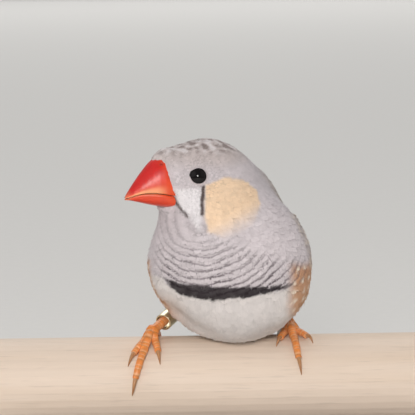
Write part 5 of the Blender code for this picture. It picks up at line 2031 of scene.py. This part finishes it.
class FINCH_OT_stand(bpy.types.Operator):
    """Finishes the perch and its stand"""

    bl_idname = "finch.stand"
    bl_label = "Perch and stand"

    def execute(self, context):
        keep_node("perch", perch_material())
        keep_node("stand_base", base_material())
        steel = steel_material()
        keep_node("stand_rod_left", steel)
        keep_node("stand_rod_right", steel)
        return {"FINISHED"}


FLOOR_RADIUS = 12.0
# name, place in metres, size in metres, power in watts, colour
LIGHTS = (
    ("front_softbox", (-0.04, -0.50, 0.26), 0.15, 1.70, "#FFFBF8"),
    ("left_softbox", (-1.00, -0.55, 0.80), 1.40, 2.2, "#FFFFFF"),
    ("right_softbox", (1.00, -0.35, 0.70), 1.40, 0.9, "#F6F8FF"),
    ("backdrop_softbox", (0.0, 5.00, 5.00), 7.00, 240.0, "#FFFFFF"),
)
LIGHT_AIM = Vector((0, 0, 60)) * MM
SKY = 0.36
CAMERA_PLACE = Vector((-5.341, -316.060, 119.912)) * MM
CAMERA_LENS = 129.7
CAMERA_TILT, CAMERA_ROLL = math.radians(9), math.radians(-0.9)


class FINCH_OT_stage(bpy.types.Operator):
    """Sets up the pale floor, the soft lights and the camera"""

    bl_idname = "finch.stage"
    bl_label = "Floor, lights and camera"

    def execute(self, context):
        bm = bmesh.new()
        bmesh.ops.create_circle(bm, cap_ends=True, segments=96, radius=FLOOR_RADIUS)
        mesh = bpy.data.meshes.new("floor")
        bm.to_mesh(mesh)
        bm.free()
        new_object("floor", mesh, floor_material())
        for name, place, size, power, code in LIGHTS:
            data = bpy.data.lights.new(name, "AREA")
            data.shape = "DISK"
            data.size = size
            data.energy = power
            data.color = linear(code)
            lamp = bpy.data.objects.new(name, data)
            context.scene.collection.objects.link(lamp)
            aim = (LIGHT_AIM - Vector(place)).to_track_quat("-Z", "Y").to_matrix().to_4x4()
            lamp.matrix_world = Matrix.Translation(place) @ aim
        world = bpy.data.worlds.new("studio")
        world.use_nodes = True
        sky = world.node_tree.nodes["Background"]
        sky.inputs["Color"].default_value = (*linear("#F2F2F0"), 1)
        sky.inputs["Strength"].default_value = SKY
        context.scene.world = world
        context.scene.view_settings.view_transform = "Standard"
        self.camera(context)
        return {"FINISHED"}

    def camera(self, context):
        """The photo's angle: from in front, a little above, with its slight roll."""
        data = bpy.data.cameras.new("camera")
        data.lens = CAMERA_LENS
        data.sensor_width = 36
        data.clip_start = 0.01
        data.clip_end = 50
        camera = bpy.data.objects.new("camera", data)
        context.scene.collection.objects.link(camera)
        look = Vector((0, math.cos(CAMERA_TILT), -math.sin(CAMERA_TILT)))
        aim = look.to_track_quat("-Z", "Y").to_matrix().to_4x4()
        roll = Matrix.Rotation(CAMERA_ROLL, 4, "Z")
        camera.matrix_world = Matrix.Translation(CAMERA_PLACE) @ aim @ roll
        context.scene.camera = camera


OPERATORS = (
    FINCH_OT_skin,
    FINCH_OT_coat,
    FINCH_OT_wings,
    FINCH_OT_tail,
    FINCH_OT_bill,
    FINCH_OT_eyes,
    FINCH_OT_legs,
    FINCH_OT_stand,
    FINCH_OT_stage,
)


class FINCH_PT_panel(bpy.types.Panel):
    """Lists the finch's pieces and their settings"""

    bl_idname = "FINCH_PT_panel"
    bl_label = "Zebra finch"
    bl_space_type = "VIEW_3D"
    bl_region_type = "UI"
    bl_category = "Finch"

    def draw(self, context):
        for operator in OPERATORS:
            self.layout.operator(operator.bl_idname)
        for key in SETTINGS:
            group = getattr(context.scene, key)
            box = self.layout.box()
            box.label(text=key.split("_")[1].capitalize())
            for name in group.__annotations__:
                box.prop(group, name)


SETTINGS = {
    "finch_plumage": PlumageSettings,
    "finch_coat": CoatSettings,
    "finch_wings": WingSettings,
    "finch_tail": TailSettings,
    "finch_bill": BillSettings,
    "finch_eye": EyeSettings,
    "finch_legs": LegSettings,
    "finch_stand": StandSettings,
}


def register():
    for cls in (*SETTINGS.values(), *OPERATORS, FINCH_PT_panel):
        bpy.utils.register_class(cls)
    for key, cls in SETTINGS.items():
        setattr(bpy.types.Scene, key, PointerProperty(type=cls))


def unregister():
    for key in SETTINGS:
        delattr(bpy.types.Scene, key)
    for cls in (FINCH_PT_panel, *reversed(OPERATORS), *reversed(SETTINGS.values())):
        bpy.utils.unregister_class(cls)


def main():
    register()
    for operator in OPERATORS:
        group, name = operator.bl_idname.split(".")
        if getattr(getattr(bpy.ops, group), name)() != {"FINISHED"}:
            raise RuntimeError(f"{operator.bl_label} was not finished")


if __name__ == "__main__":
    main()
